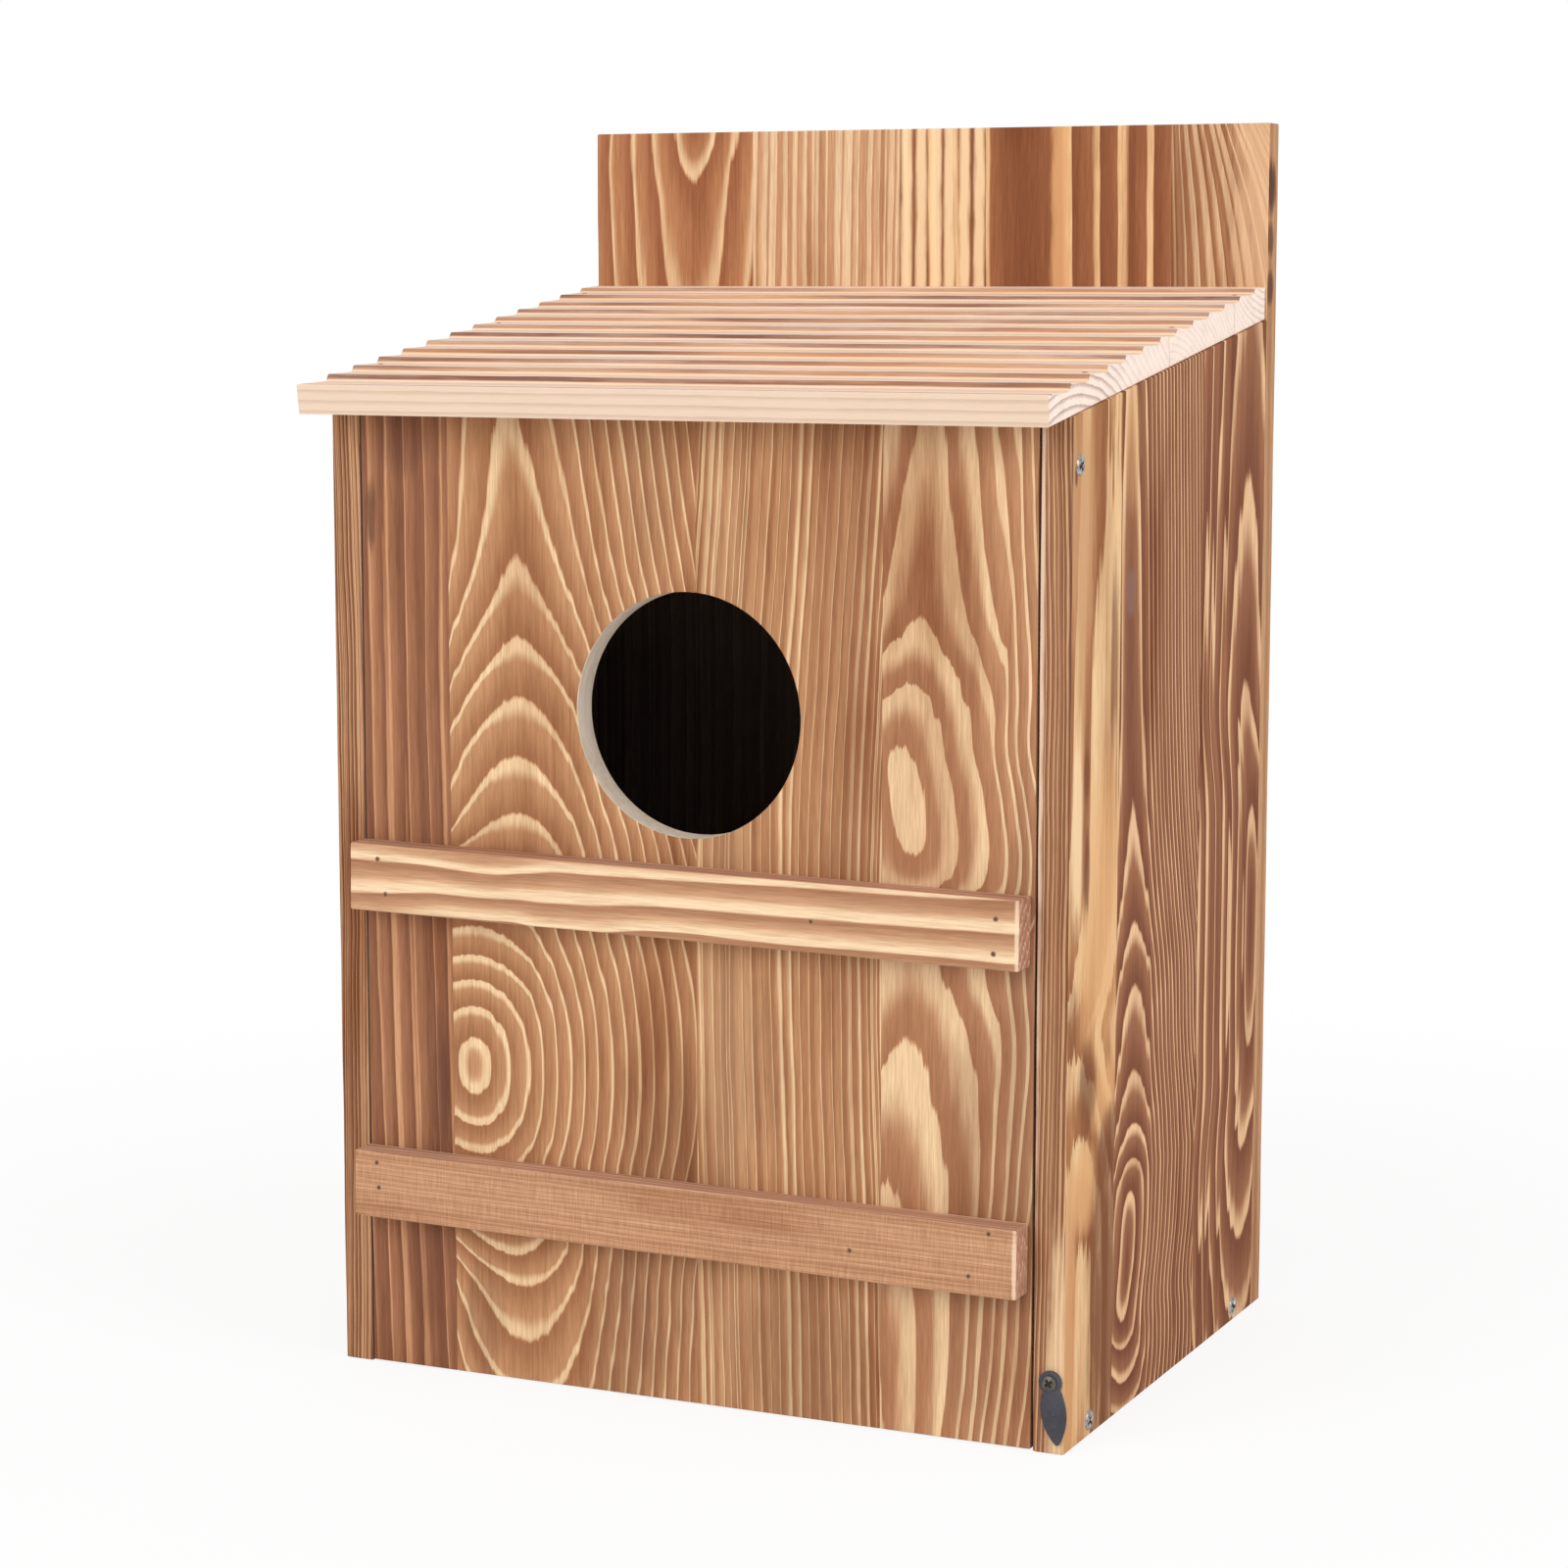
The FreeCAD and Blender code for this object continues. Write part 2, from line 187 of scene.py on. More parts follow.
# %% [markdown]
# A softwood board shows its growth rings. Each ring starts as soft brown early wood, pales slowly towards its
# hard late wood and ends at a sharp line. After torching and brushing the late wood is left pale. On a flat
# board the rings come out as arches about a heart line, or as straight lines far from it. So a ring number is
# worked out at each point: (rings at the heart line ^ p + (distance from it / ring spacing) ^ p) ^ (1 / p).
# With p at 2 the arches are round, as they are near a bull's-eye. Further out p is smaller and they are
# pointed. The heart line of each board is a short list of places in millimetres: distance along the board,
# position across, rings there, and for some boards the ring spacing there.

# %% Growth rings of a board
MOST_RINGS = 24.0
CURVE_SPAN = 420.0
# Cells of noise: their size across the grain and along it.
BEND = (30 * MM, 110 * MM)
SHIVER = (6 * MM, 35 * MM)
COARSE_JAG = (1.8 * MM, 70 * MM)
FINE_JAG = (0.6 * MM, 30 * MM)
DRIFT_RINGS = 2.4
DEPTH_RINGS = 2.5
ROUND_POWER = 2.0
POINT_POWER = 1.5


def along_grain(wire, place, axes, cell, seed, detail=2.0):
    """Noise about 0 whose cells have this size across the grain and along it."""
    across, along = cell
    size = dict(zip(axes, (across, across, along)))
    stretch = [1 / size[axis] for axis in "XYZ"]
    inputs = {"Vector": place, "Vector_001": stretch, "Vector_002": (seed, seed * 1.7, seed * 0.6)}
    moved = wire.node("VectorMath", {"operation": "MULTIPLY_ADD"}, inputs)
    return wire.node("TexNoise", {}, {"Vector": moved, "Scale": 1.0, "Detail": detail}) - 0.5


def board_place(wire, place, wood):
    """Distance across a board, along it and behind its face, each from Object coordinates."""
    parts = wire.node("SeparateXYZ", {}, {"Vector": place})
    across, depth, along = (parts.beside(name) for name in wood["axes"])
    first_across, first_along = wood["origin"]
    return across - first_across, along - first_along, depth - wood["face"]


def curve_along(wire, along, figure, column, most):
    """A smooth curve through one column of a heart line's list, whose values go from 0 to most."""
    shares = [(entry[0] / CURVE_SPAN, entry[column] / most) for entry in figure]
    return wire.node("FloatCurve", {"points": shares}, {"Value": along / (CURVE_SPAN * MM)}) * most


def ring_number(wire, place, wood):
    """How many growth rings lie between the pith and each point, and how many of them lie sideways."""
    axes = wood["axes"]
    seed = wood["seed"]
    wave = wood.get("wave", 1.2) * MM
    figure = wood["figure"]
    across, along, depth = board_place(wire, place, wood)
    bend = along_grain(wire, place, axes, BEND, seed)
    shiver = along_grain(wire, place, axes, SHIVER, seed + 3)
    heart = curve_along(wire, along, figure, 1, CURVE_SPAN) * MM
    rings = curve_along(wire, along, figure, 2, MOST_RINGS)
    if "spacing" in wood:
        spacing = wood["spacing"] * MM
    else:
        spacing = curve_along(wire, along, figure, 3, MOST_RINGS) * MM
    offset = across + bend * (2 * wave) + shiver * wave - heart
    distance = offset.math("ABSOLUTE")
    aside = distance / spacing
    if "crowd" in wood:
        beyond, extra = wood["crowd"]
        aside = aside + (distance - beyond * MM).math("MAXIMUM", 0.0) / (extra * MM)
    drift_inputs = {"W": offset / (DRIFT_RINGS * spacing) + seed, "Detail": 0.0}
    drift = wire.node("TexNoise", {"noise_dimensions": "1D"}, drift_inputs) - 0.5
    aside = aside + drift * aside.math("MINIMUM", 1.0) * wood.get("uneven", 1.0)
    aside = aside.math("MAXIMUM", 0.0)
    at_heart = (rings + depth / (DEPTH_RINGS * spacing)).math("ABSOLUTE")
    power = ROUND_POWER - rings.step(*wood.get("pointed", (4.0, 9.0))) * (ROUND_POWER - POINT_POWER)
    number = (at_heart**power + aside**power) ** (power**-1.0)
    coarse_jag = along_grain(wire, place, axes, COARSE_JAG, seed + 5)
    fine_jag = along_grain(wire, place, axes, FINE_JAG, seed + 7)
    jag = (coarse_jag + fine_jag * 0.6) * (1 - aside.step(1.5, 5.0) * 0.85)
    return number + jag * wood.get("jag", 0.16), aside


print("ring formula ready")

# %% [markdown]
# The finish comes from that ring number. The part of a ring just past its sharp line is darkest, the rest
# lightens, and the late wood is pale. Single rings differ in strength, clouds of scorching darken some
# places, and fine fibres run along the grain. Some boards also carry patches of their own. The same numbers
# drive roughness and relief, because brushing wears the soft wood down between the late-wood ridges.

# %% Torched and brushed wood
PALE = srgb(240, 207, 164)
MIDDLE = srgb(198, 149, 108)
DARK = srgb(169, 118, 83)
SCORCH = srgb(206, 184, 170)
# A dark tone for burns, also used for the painted shadow below the right pivot screw's head.
BURN_AND_SHADOW = srgb(88, 56, 46)
BROWN = srgb(116, 70, 46)
TAN = srgb(212, 160, 112)
FAIR = srgb(216, 174, 136)
HONEY = srgb(224, 172, 120)
GREY = srgb(140, 108, 100)
DULL_FIBRE = srgb(208, 201, 196)
WHITE = (1.0, 1.0, 1.0, 1.0)
RAGGED = (2 * MM, 14 * MM)
FADE = (18 * MM, 90 * MM)
CLOUD = (22 * MM, 120 * MM)
FIBRE = (0.35 * MM, 8 * MM)
STREAK = (1.1 * MM, 40 * MM)
SAW_MARKS = (7 * MM, 0.5 * MM)
WOOD_GLOSS = {"Specular IOR Level": 0.05}


def patched(wire, place, wood, colour):
    """Blend the board's own patches over its colour: ellipses with a ragged soft rim."""
    across, along, _ = board_place(wire, place, wood)
    ragged = along_grain(wire, place, wood["axes"], RAGGED, wood["seed"] + 19, 3.0)
    for middle_along, middle_across, half_along, half_across, strength, tone in wood["patches"]:
        far_along = (along - middle_along * MM) / (half_along * MM)
        far_across = (across - middle_across * MM) / (half_across * MM)
        reach = far_along * far_along + far_across * far_across + ragged
        colour = ((1 - reach.step(0.1, 1.0)) * strength).mix(colour, tone)
    return colour


def torched_wood(name, **wood):
    """Torched and brushed softwood with its own figure."""
    material, wire, place = new_material(name)
    axes = wood["axes"]
    seed = wood["seed"]
    number, aside = ring_number(wire, place, wood)
    share = number.math("FRACT")
    late = wood.get("late", 0.36)
    thin = wood.get("thin", 0.3)
    if thin:
        late = late * (1 - aside.step(*wood.get("thins", (0.5, 3.0))) * thin)
    edge = wood.get("edge", 0.07)
    full = 1 - edge - wood.get("plateau", 0.0)
    line = share.step(1 - late, full) * (1 - share.step(1 - edge, 1.0))
    each = wire.node("TexWhiteNoise", {"noise_dimensions": "1D"}, {"W": number.math("FLOOR") + seed})
    fade = along_grain(wire, place, axes, FADE, seed + 11)
    strength = (each * 0.35 + 0.7 + fade * 0.9) * wood.get("contrast", 1.0)
    pale_share = (line * strength).math("MINIMUM", 1.0)
    early = share.step(0.0, 0.8).mix(wood.get("dark", DARK), wood.get("middle", MIDDLE))
    ringed = pale_share.mix(early, wood.get("pale", PALE))
    cloud = along_grain(wire, place, axes, CLOUD, seed + 13, 3.0)
    scorched = cloud.step(0.0, 0.3).mix(WHITE, SCORCH)
    fibre = along_grain(wire, place, axes, FIBRE, seed + 17, 3.0)
    streak = along_grain(wire, place, axes, STREAK, seed + 18)
    grain = fibre * 1.4 + streak * 0.9
    if "sawn" in wood:
        grain = grain * 0.6 + along_grain(wire, place, axes, SAW_MARKS, seed + 21, 3.0) * wood["sawn"]
    streaked = (grain + 0.5).mix(DULL_FIBRE, WHITE)
    multiply = {"operation": "MULTIPLY"}
    toned = wire.node("VectorMath", multiply, {"Vector": ringed, "Vector_001": scorched})
    colour = wire.node("VectorMath", multiply, {"Vector": toned, "Vector_001": streaked})
    if "patches" in wood:
        colour = patched(wire, place, wood, colour)
    rough = 0.7 - pale_share * 0.1 + fibre * 0.15
    height = pale_share * 0.7 + fibre * 0.8
    finish_surface(wire, colour, rough, height, 0.25 * MM, 0.5, WOOD_GLOSS)
    return material


print("torched finish ready")

# %% [markdown]
# Each board of the box has its own heart line, set from how its arches run. Positions across are measured
# from the left wall's outer face on the door and back, and from the front plane on the side walls. The other
# words set how the rings look. spacing is their distance where the list doesn't give it. late is the pale
# share of a ring, contrast its strength, and plateau and edge shape its end. thin and thins narrow it away
# from the heart line. crowd packs the rings closer beyond a distance. uneven, wave and jag make the lines
# irregular. pointed gives the rings between which the arches come to a point. A patch is a soft ellipse: its
# place along and across, its half sizes, its strength and its tone.

# %% Figures of the upright boards
ON_FRONT = {"axes": "XYZ", "origin": (LEFT_X, 0.0)}
ON_DOOR = {**ON_FRONT, "face": DOOR_Y}
ON_BACK = {**ON_FRONT, "face": BACK_Y}
ON_SIDE = {"axes": "YXZ", "origin": (FRONT_Y, 0.0)}
ON_RIGHT = {**ON_SIDE, "face": RIGHT_X}
ON_LEFT = {**ON_SIDE, "face": LEFT_X}


def tones(dark, middle, pale):
    """The early wood's first and last tone and the late wood's tone."""
    return {"dark": srgb(*dark), "middle": srgb(*middle), "pale": srgb(*pale)}


RED_BROWN = tones((138, 92, 68), (168, 117, 86), (214, 163, 122))
DEEP = tones((134, 84, 61), (172, 118, 86), (248, 206, 160))
GOLDEN = tones((172, 116, 78), (214, 162, 114), (250, 212, 162))
LIGHT = tones((198, 149, 110), (219, 173, 132), (244, 213, 175))
DARK_STAVE = tones((142, 88, 59), (164, 108, 74), (240, 198, 148))
BUFF = tones((160, 108, 74), (204, 156, 116), (236, 203, 165))

HOLE_LEFT_FIGURE = (
    (0, 68, 8.6, 4.6), (13, 67, 8, 4.6), (31, 66, 7, 4.6), (41, 63, 6, 4.8), (74, 50, 2.9, 6.5),
    (82, 49.5, 2, 6.7), (92, 49, 1, 6.85), (102, 49, 0.55, 6.9), (111, 49, 1, 6.9), (121, 49, 2, 6.9),
    (147, 50, 5, 6.7), (184, 65.5, 8, 4.7), (202, 65.5, 9, 4.6), (221, 66.5, 10, 4.6), (240, 66.5, 11, 4.6),
    (265, 66, 12, 4.6), (310, 63, 12.9, 4.6),
)
RIGHT_FIGURE = (
    (0, 184, 0.55, 9), (23, 187, 1, 9), (50, 189, 1.5, 9), (78, 192, 2, 9.5), (101, 195, 2.5, 9.5),
    (124, 199, 3, 9), (150, 200, 3.6, 8.6), (165, 200, 2.2, 8.6), (179, 200, 1, 8.6), (196, 198, 0.7, 8.6),
    (212, 196, 1, 8.2), (231, 199, 2, 7.6), (251, 202, 3, 7.0), (268, 203, 3.3, 6.5), (285, 204, 3.52, 6.1),
    (310, 205, 3.8, 5.7),
)
SIDE_FRONT_FIGURE = (
    (0, 14, 0.4), (63, 15, 1), (95, 10, 2), (121, 5, 3), (140, 20, 3.45), (165, 30, 3.5), (210, 36, 3.52),
    (231, 36, 3.58), (250, 36, 3.67), (275, 36, 3.88), (304, 36, 3.96), (330, 36, 3.97),
)
SIDE_MIDDLE_FIGURE = (
    (0, 54, 3.8, 7.3), (8, 54, 3, 7.3), (19, 53, 2, 7.3), (28, 51, 1, 7.3), (49, 55, 0.3, 7.3),
    (69, 57, 1, 7.3), (79, 58, 2, 6.8), (90, 59, 3, 6.2), (107, 59, 4, 5.6), (134, 59, 5, 5.4),
    (154, 58, 6, 5), (192, 55, 7, 4.6), (278, 51, 7.45, 4.4), (330, 49, 7.85, 4.4),
)
SIDE_REAR_FIGURE = (
    (0, 169, 3.9), (27, 169, 3), (58, 170, 2), (92, 176, 1), (134, 176, 0.1), (175, 175, 1), (218, 166, 2),
    (287, 166, 3), (340, 166, 3.7),
)
BACK_LEFT_FIGURE = (
    (0, 26, 5.4), (110, 31, 4.4), (220, 36, 3.3), (330, 38, 2), (350, 38, 1.63), (384, 38, 1), (401, 39, 0.2),
)
BACK_DARK_FIGURE = ((0, 158, 1.02), (200, 166, 1.02), (401, 164, 1.02))
BACK_RIGHT_FIGURE = (
    (0, 213, 0.05, 7), (200, 213, 0.05, 6), (330, 213, 0.05, 5), (355, 213, 0.05, 4.5), (375, 213, 0.05, 3.9),
    (390, 213, 0.05, 3.3), (401, 213, 0.05, 2.8),
)

boards = {
    "door_left_stave": dict(
        ON_DOOR, **RED_BROWN, seed=2, spacing=6.2, late=0.3, contrast=0.95,
        figure=((0, 78, 2), (150, 74, 2.2), (310, 72, 2.5)),
        patches=(
            (276, 14, 14, 2.4, 0.7, BURN_AND_SHADOW), (300, 26, 14, 10, 0.35, BURN_AND_SHADOW), (40, 30, 40, 9, 0.3, BURN_AND_SHADOW),
            (92, 37, 34, 3.5, 0.6, BURN_AND_SHADOW),
        ),
    ),
    "door_hole_left_stave": dict(
        ON_DOOR, seed=5, late=0.42, plateau=0.06, uneven=0.25, pointed=(8.0, 12.5), contrast=1.2, thin=0.5,
        jag=0.14, wave=0.45, crowd=(20.7, 16.9), figure=HOLE_LEFT_FIGURE,
        patches=(
            (60, 118, 70, 22, 0.25, BURN_AND_SHADOW), (290, 112, 40, 12, 0.15, BURN_AND_SHADOW), (20, 52, 26, 9, 0.25, BURN_AND_SHADOW),
            (18, 102, 42, 16, 0.3, BURN_AND_SHADOW),
        ),
    ),
    "door_hole_right_stave": dict(
        ON_DOOR, seed=8, spacing=3.3, late=0.38, contrast=1.25,
        figure=((0, 62, 3), (160, 58, 3), (310, 66, 3)),
        patches=(
            (20, 165, 34, 30, 0.3, BURN_AND_SHADOW), (110, 150, 30, 12, 0.15, BURN_AND_SHADOW), (230, 178, 200, 13, 0.3, BROWN),
            (150, 138, 200, 12, 0.12, PALE),
        ),
    ),
    "door_right_stave": dict(
        ON_DOOR, seed=11, late=0.7, plateau=0.2, edge=0.04, uneven=0.4, jag=0.18, pointed=(0.8, 4.0),
        thin=0.55, thins=(1.6, 4.0), crowd=(29.0, 7.0), dark=srgb(174, 123, 89), middle=srgb(196, 146, 109),
        figure=RIGHT_FIGURE,
        patches=((110, 236, 120, 9, 0.25, BURN_AND_SHADOW), (40, 222, 50, 12, 0.2, BURN_AND_SHADOW), (85, 222, 60, 16, 0.3, BROWN)),
    ),
    "right_side_front_stave": dict(
        ON_RIGHT, **GOLDEN, seed=14, spacing=9.5, late=0.62, plateau=0.15, edge=0.04, uneven=0.5, jag=0.42,
        wave=2.0, thin=0.0, figure=SIDE_FRONT_FIGURE,
        patches=(
            (160, 27, 55, 26, 0.6, HONEY), (188, 6.5, 40, 6, 0.85, PALE), (188, 13.5, 42, 4, 0.5, BROWN),
            (176, 15, 15, 3.2, 0.8, BROWN), (204, 14, 10, 3, 0.65, BROWN), (240, 37, 36, 4.5, 0.7, BROWN),
            (132, 4, 14, 6, 0.4, BROWN), (104, 33, 15, 13, 0.7, HONEY), (109, 17, 17, 10, 0.75, BROWN),
            (78, 15, 18, 14, 0.75, HONEY), (88, 39, 15, 14, 0.7, BROWN), (36, 35, 72, 19, 0.85, BROWN),
            # The small dark patch just below and in front of the pivot screw's head is its painted shadow.
            (278, 8, 56, 13, 0.75, MIDDLE), (293.6, 2.5, 4, 1.3, 0.8, BURN_AND_SHADOW), (30, 3, 80, 8, 0.8, TAN),
        ),
    ),
    "right_side_middle_stave": dict(
        ON_RIGHT, **DEEP, seed=17, late=0.42, plateau=0.05, uneven=0.4, jag=0.1, contrast=1.15, wave=0.6,
        crowd=(15.0, 7.5), pointed=(2.5, 9.0), figure=SIDE_MIDDLE_FIGURE,
        patches=((235, 50, 40, 6, 0.3, BURN_AND_SHADOW), (300, 52, 24, 8, 0.4, TAN), (256, 51, 9, 6, 0.55, GREY)),
    ),
    "right_side_rear_stave": dict(
        ON_RIGHT, **DEEP, seed=20, spacing=8.0, late=0.42, edge=0.06, plateau=0.05, uneven=0.8, jag=0.1,
        contrast=1.15, wave=0.8, figure=SIDE_REAR_FIGURE,
    ),
    "left_side_front_stave": dict(ON_LEFT, **DEEP, seed=23, spacing=5.0, figure=SIDE_REAR_FIGURE),
    "left_side_middle_stave": dict(
        ON_LEFT, **GOLDEN, seed=26, spacing=5.5, late=0.5, figure=SIDE_MIDDLE_FIGURE
    ),
    "left_side_rear_stave": dict(ON_LEFT, seed=29, spacing=4.0, figure=((0, 60, 3), (320, 70, 3))),
    "back_left_stave": dict(
        ON_BACK, seed=32, spacing=8.5, late=0.4, uneven=0.3, figure=BACK_LEFT_FIGURE, contrast=1.1,
        dark=srgb(162, 104, 72), middle=srgb(194, 138, 97),
    ),
    "back_middle_left_stave": dict(
        ON_BACK, **LIGHT, seed=35, spacing=4.0, late=0.85, plateau=0.2, contrast=0.85,
        figure=((0, 12, 3), (200, 6, 3), (401, 8, 3)),
    ),
    "back_middle_right_stave": dict(
        ON_BACK, **DARK_STAVE, seed=38, spacing=9.3, late=0.34, plateau=0.12, edge=0.05, uneven=0.4, jag=0.06,
        contrast=1.3, figure=BACK_DARK_FIGURE,
        patches=(
            *((300, across, 600, 2.6, 0.85, PALE) for across in (120, 125.5, 131, 136, 141.5, 147)),
            (300, 176.5, 600, 4, 0.8, TAN),
        ),
    ),
    "back_right_stave": dict(
        ON_BACK, **BUFF, seed=41, late=0.66, plateau=0.15, jag=0.12, wave=0.7, thin=0.0, contrast=0.8,
        figure=BACK_RIGHT_FIGURE,
        patches=((345, 216, 90, 9, 0.4, BROWN), (390, 250, 100, 15, 0.7, FAIR)),
    ),
}
face_wood = {name: torched_wood(name + "_grain", **wood) for name, wood in boards.items()}
print("figured boards:", len(face_wood))

# %% [markdown]
# The narrow edges of a board show its rings as fine upright lines. Edges that face the front share one
# material, and edges that face sideways another. The back board's right edge is tawny, with three burns.
# Inside, the boards take a darker, greyer brown, painted shade of the closed box that helps the entrance
# look nearly black. The wall of the entrance was sawn after torching, so it is bare pale wood.

# %% Edge grain and bare wood
BARE = srgb(232, 215, 196)
BARE_STREAK = srgb(196, 172, 148)
EDGE = tones((126, 83, 60), (177, 127, 93), (228, 184, 140))
TAWNY = tones((176, 126, 90), (204, 156, 114), (226, 184, 142))
# The inside tones are darker and greyer than the outside wood: painted shade of the closed box.
INSIDE_SHADE = tones((132, 112, 102), (152, 128, 114), (170, 146, 130))

edge_figure = ((0, 120, 3), (210, 122, 3), (401, 118, 3))
edge_rings = dict(spacing=1.4, late=0.5, jag=0.3, thin=0.0, figure=edge_figure)
arris_patches = (
    (290, 240.3, 260, 1.5, 0.75, srgb(228, 198, 172)), (230, 249.9, 140, 1.2, 0.6, BURN_AND_SHADOW),
    (20, 248.2, 60, 5, 0.6, PALE),
)
edge_burns = (
    (380, 185.5, 11, 6, 0.95, BURN_AND_SHADOW), (363, 185.5, 7, 4.5, 0.75, BURN_AND_SHADOW), (347, 185.5, 7, 5, 0.85, BURN_AND_SHADOW),
)
front_edge_wood = torched_wood(
    "front_edge_grain", **ON_FRONT, **EDGE, **edge_rings, face=FRONT_Y, seed=50, patches=arris_patches
)
side_edge_wood = torched_wood("side_edge_grain", **ON_SIDE, **EDGE, **edge_rings, face=RIGHT_X, seed=53)
burnt_edge_wood = torched_wood(
    "burnt_edge_grain", **ON_SIDE, **TAWNY, **edge_rings, face=RIGHT_X, seed=53, patches=edge_burns
)
inner_rings = dict(INSIDE_SHADE, spacing=5.0, figure=((0, 60, 3), (200, 66, 3), (401, 58, 3)))
inner_cross_wood = torched_wood("inner_cross_grain", **ON_BACK, **inner_rings, seed=56)
inner_side_wood = torched_wood("inner_side_grain", **ON_RIGHT, **inner_rings, seed=58)


def bare_wood(name, seed):
    """Freshly sawn softwood: pale, with faint fibres and a few darker streaks."""
    material, wire, place = new_material(name)
    fibre = along_grain(wire, place, "XYZ", (0.7 * MM, 9 * MM), seed, 4.0)
    streak = along_grain(wire, place, "XYZ", (3 * MM, 30 * MM), seed + 2)
    colour = (streak * 0.9 + fibre * 0.7 + 0.3).step(0.0, 1.0).mix(BARE, BARE_STREAK)
    finish_surface(wire, colour, 0.75 + fibre * 0.2, fibre, 0.2 * MM, 0.6)
    return material


hole_wood = bare_wood("hole_wall_wood", 61)
print("edge and bare finishes ready")

# %% [markdown]
# A sawn board is never perfectly sharp. Its section is a polygon whose corners are eased by a small amount
# that wanders along the board, and that section is carried along the board. Near the ends it draws in, so the
# end arrises are eased too. Each loop of points is worked out as a whole array.

# %% Sections with eased corners
BEND_POINTS = 5
STATION = 6 * MM
END_EASE = 0.5 * MM
END_SHARE = 0.015
LATTICE = 997


def wander(places, pitch, seed):
    """Smooth random values from -1 to 1: seeded values one pitch apart, joined by half cosine waves."""
    lattice = np.random.default_rng(seed).uniform(-1, 1, LATTICE)
    cells = np.asarray(places) / pitch
    first = np.floor(cells).astype(int)
    blend = (1 - np.cos(np.pi * (cells - first))) / 2
    return lattice[first % LATTICE] * (1 - blend) + lattice[(first + 1) % LATTICE] * blend


def drawn_in(corners, depth):
    """Move each side inwards: corner + depth * (n1 + n2) / (1 + n1.n2), n1 and n2 its sides' normals."""
    ahead = np.roll(corners, -1, axis=1) - corners
    ahead = ahead / np.linalg.norm(ahead, axis=2, keepdims=True)
    normal = np.stack([-ahead[..., 1], ahead[..., 0]], axis=-1)
    last = np.roll(normal, 1, axis=1)
    reach = (normal + last) / (1 + np.sum(normal * last, axis=2, keepdims=True))
    return corners + reach * depth[:, None, None]


def eased(corners, ease):
    """Swap each corner for a parabola: (1-t)^2 * before + 2t(1-t) * corner + t^2 * after, t from 0 to 1."""
    back = np.roll(corners, 1, axis=1) - corners
    ahead = np.roll(corners, -1, axis=1) - corners
    before = corners + back * (ease / np.linalg.norm(back, axis=2))[..., None]
    after = corners + ahead * (ease / np.linalg.norm(ahead, axis=2))[..., None]
    t = np.linspace(0, 1, BEND_POINTS)[:, None]
    start = (1 - t) ** 2 * before[:, :, None]
    bend = start + 2 * t * (1 - t) * corners[:, :, None] + t**2 * after[:, :, None]
    return bend.reshape(len(corners), -1, 2)


def stations(length, station=STATION):
    """Along a board: share of its length, extra shift and draw-in, with quarter-round steps at both ends."""
    turn = np.linspace(0, math.pi / 2, BEND_POINTS)
    shift = END_EASE * (1 - np.cos(turn))
    draw = END_EASE * (1 - np.sin(turn))
    middle = np.linspace(END_SHARE, 1 - END_SHARE, int(length / station))
    share = np.concatenate([0 * turn, middle, 0 * turn + 1])
    shift = np.concatenate([shift, 0 * middle, -shift[::-1]])
    draw = np.concatenate([draw, 0 * middle, draw[::-1]])
    return share, shift, draw


def rectangle(low, high):
    """Four corners, anticlockwise from the lowest."""
    return np.array([low, (high[0], low[1]), high, (low[0], high[1])])


def swept(outline, draw, ease):
    """An outline repeated at each station, drawn in near the ends, with eased corners."""
    return eased(drawn_in(np.repeat(outline[None], len(draw), axis=0), draw), ease)


print("section tools ready")

# %% [markdown]
# The loops are then joined into a closed mesh: four-sided faces between neighbouring loops and one cap at
# each end. The signed volume of the tube tells whether its faces look outwards, so they are turned if it is
# negative. The flat sides stay flat-shaded, and the eased corners are smooth.


# %% Skin over a stack of loops
def linked(name, data):
    """A new object that shows this data, linked to the scene."""
    made = bpy.data.objects.new(name, data)
    bpy.context.collection.objects.link(made)
    return made


def join_loops(name, loops, materials, side_slots, smooth, cap_slot=0):
    """A closed mesh through loops (stations, points, 3), with a material slot for each face between them."""
    count, points, _ = loops.shape
    index = np.arange(count * points).reshape(count, points)
    here, above = index[:-1], index[1:]
    quads = np.stack([here, np.roll(here, -1, 1), np.roll(above, -1, 1), above], axis=-1).reshape(-1, 4)
    vertices = loops.reshape(-1, 3)
    a, b, c, d = (vertices[quads[:, corner]] - vertices.mean(axis=0) for corner in range(4))
    volume = np.sum(np.cross(a, b) * c) + np.sum(np.cross(a, c) * d)
    caps = [index[0, ::-1].tolist(), index[-1].tolist()]
    if volume < 0:
        quads = quads[:, ::-1]
        caps = [cap[::-1] for cap in caps]
    mesh = bpy.data.meshes.new(name)
    mesh.from_pydata(vertices.tolist(), [], quads.tolist() + caps)
    slots = np.concatenate([np.broadcast_to(side_slots, here.shape).ravel(), [cap_slot, cap_slot]])
    flags = np.concatenate([np.broadcast_to(smooth, here.shape).ravel(), [False, False]])
    mesh.polygons.foreach_set("material_index", slots.astype(np.int32))
    mesh.polygons.foreach_set("use_smooth", flags.astype(bool))
    for material in materials:
        mesh.materials.append(material)
    return linked(name, mesh)


def slots_round(corner_count, slot_of_side):
    """The material slot of each face round a section, and whether it lies in an eased corner."""
    point = np.arange(corner_count * BEND_POINTS)
    corner, step = np.divmod(point, BEND_POINTS)
    side = np.where(step >= BEND_POINTS // 2, corner, corner - 1) % corner_count
    return np.array(slot_of_side)[side], step < BEND_POINTS - 1


def stand_in(piece, node, body):
    """The piece takes the node's place and rides on its body."""
    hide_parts(node)
    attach(piece, body)


print("skin tools ready")

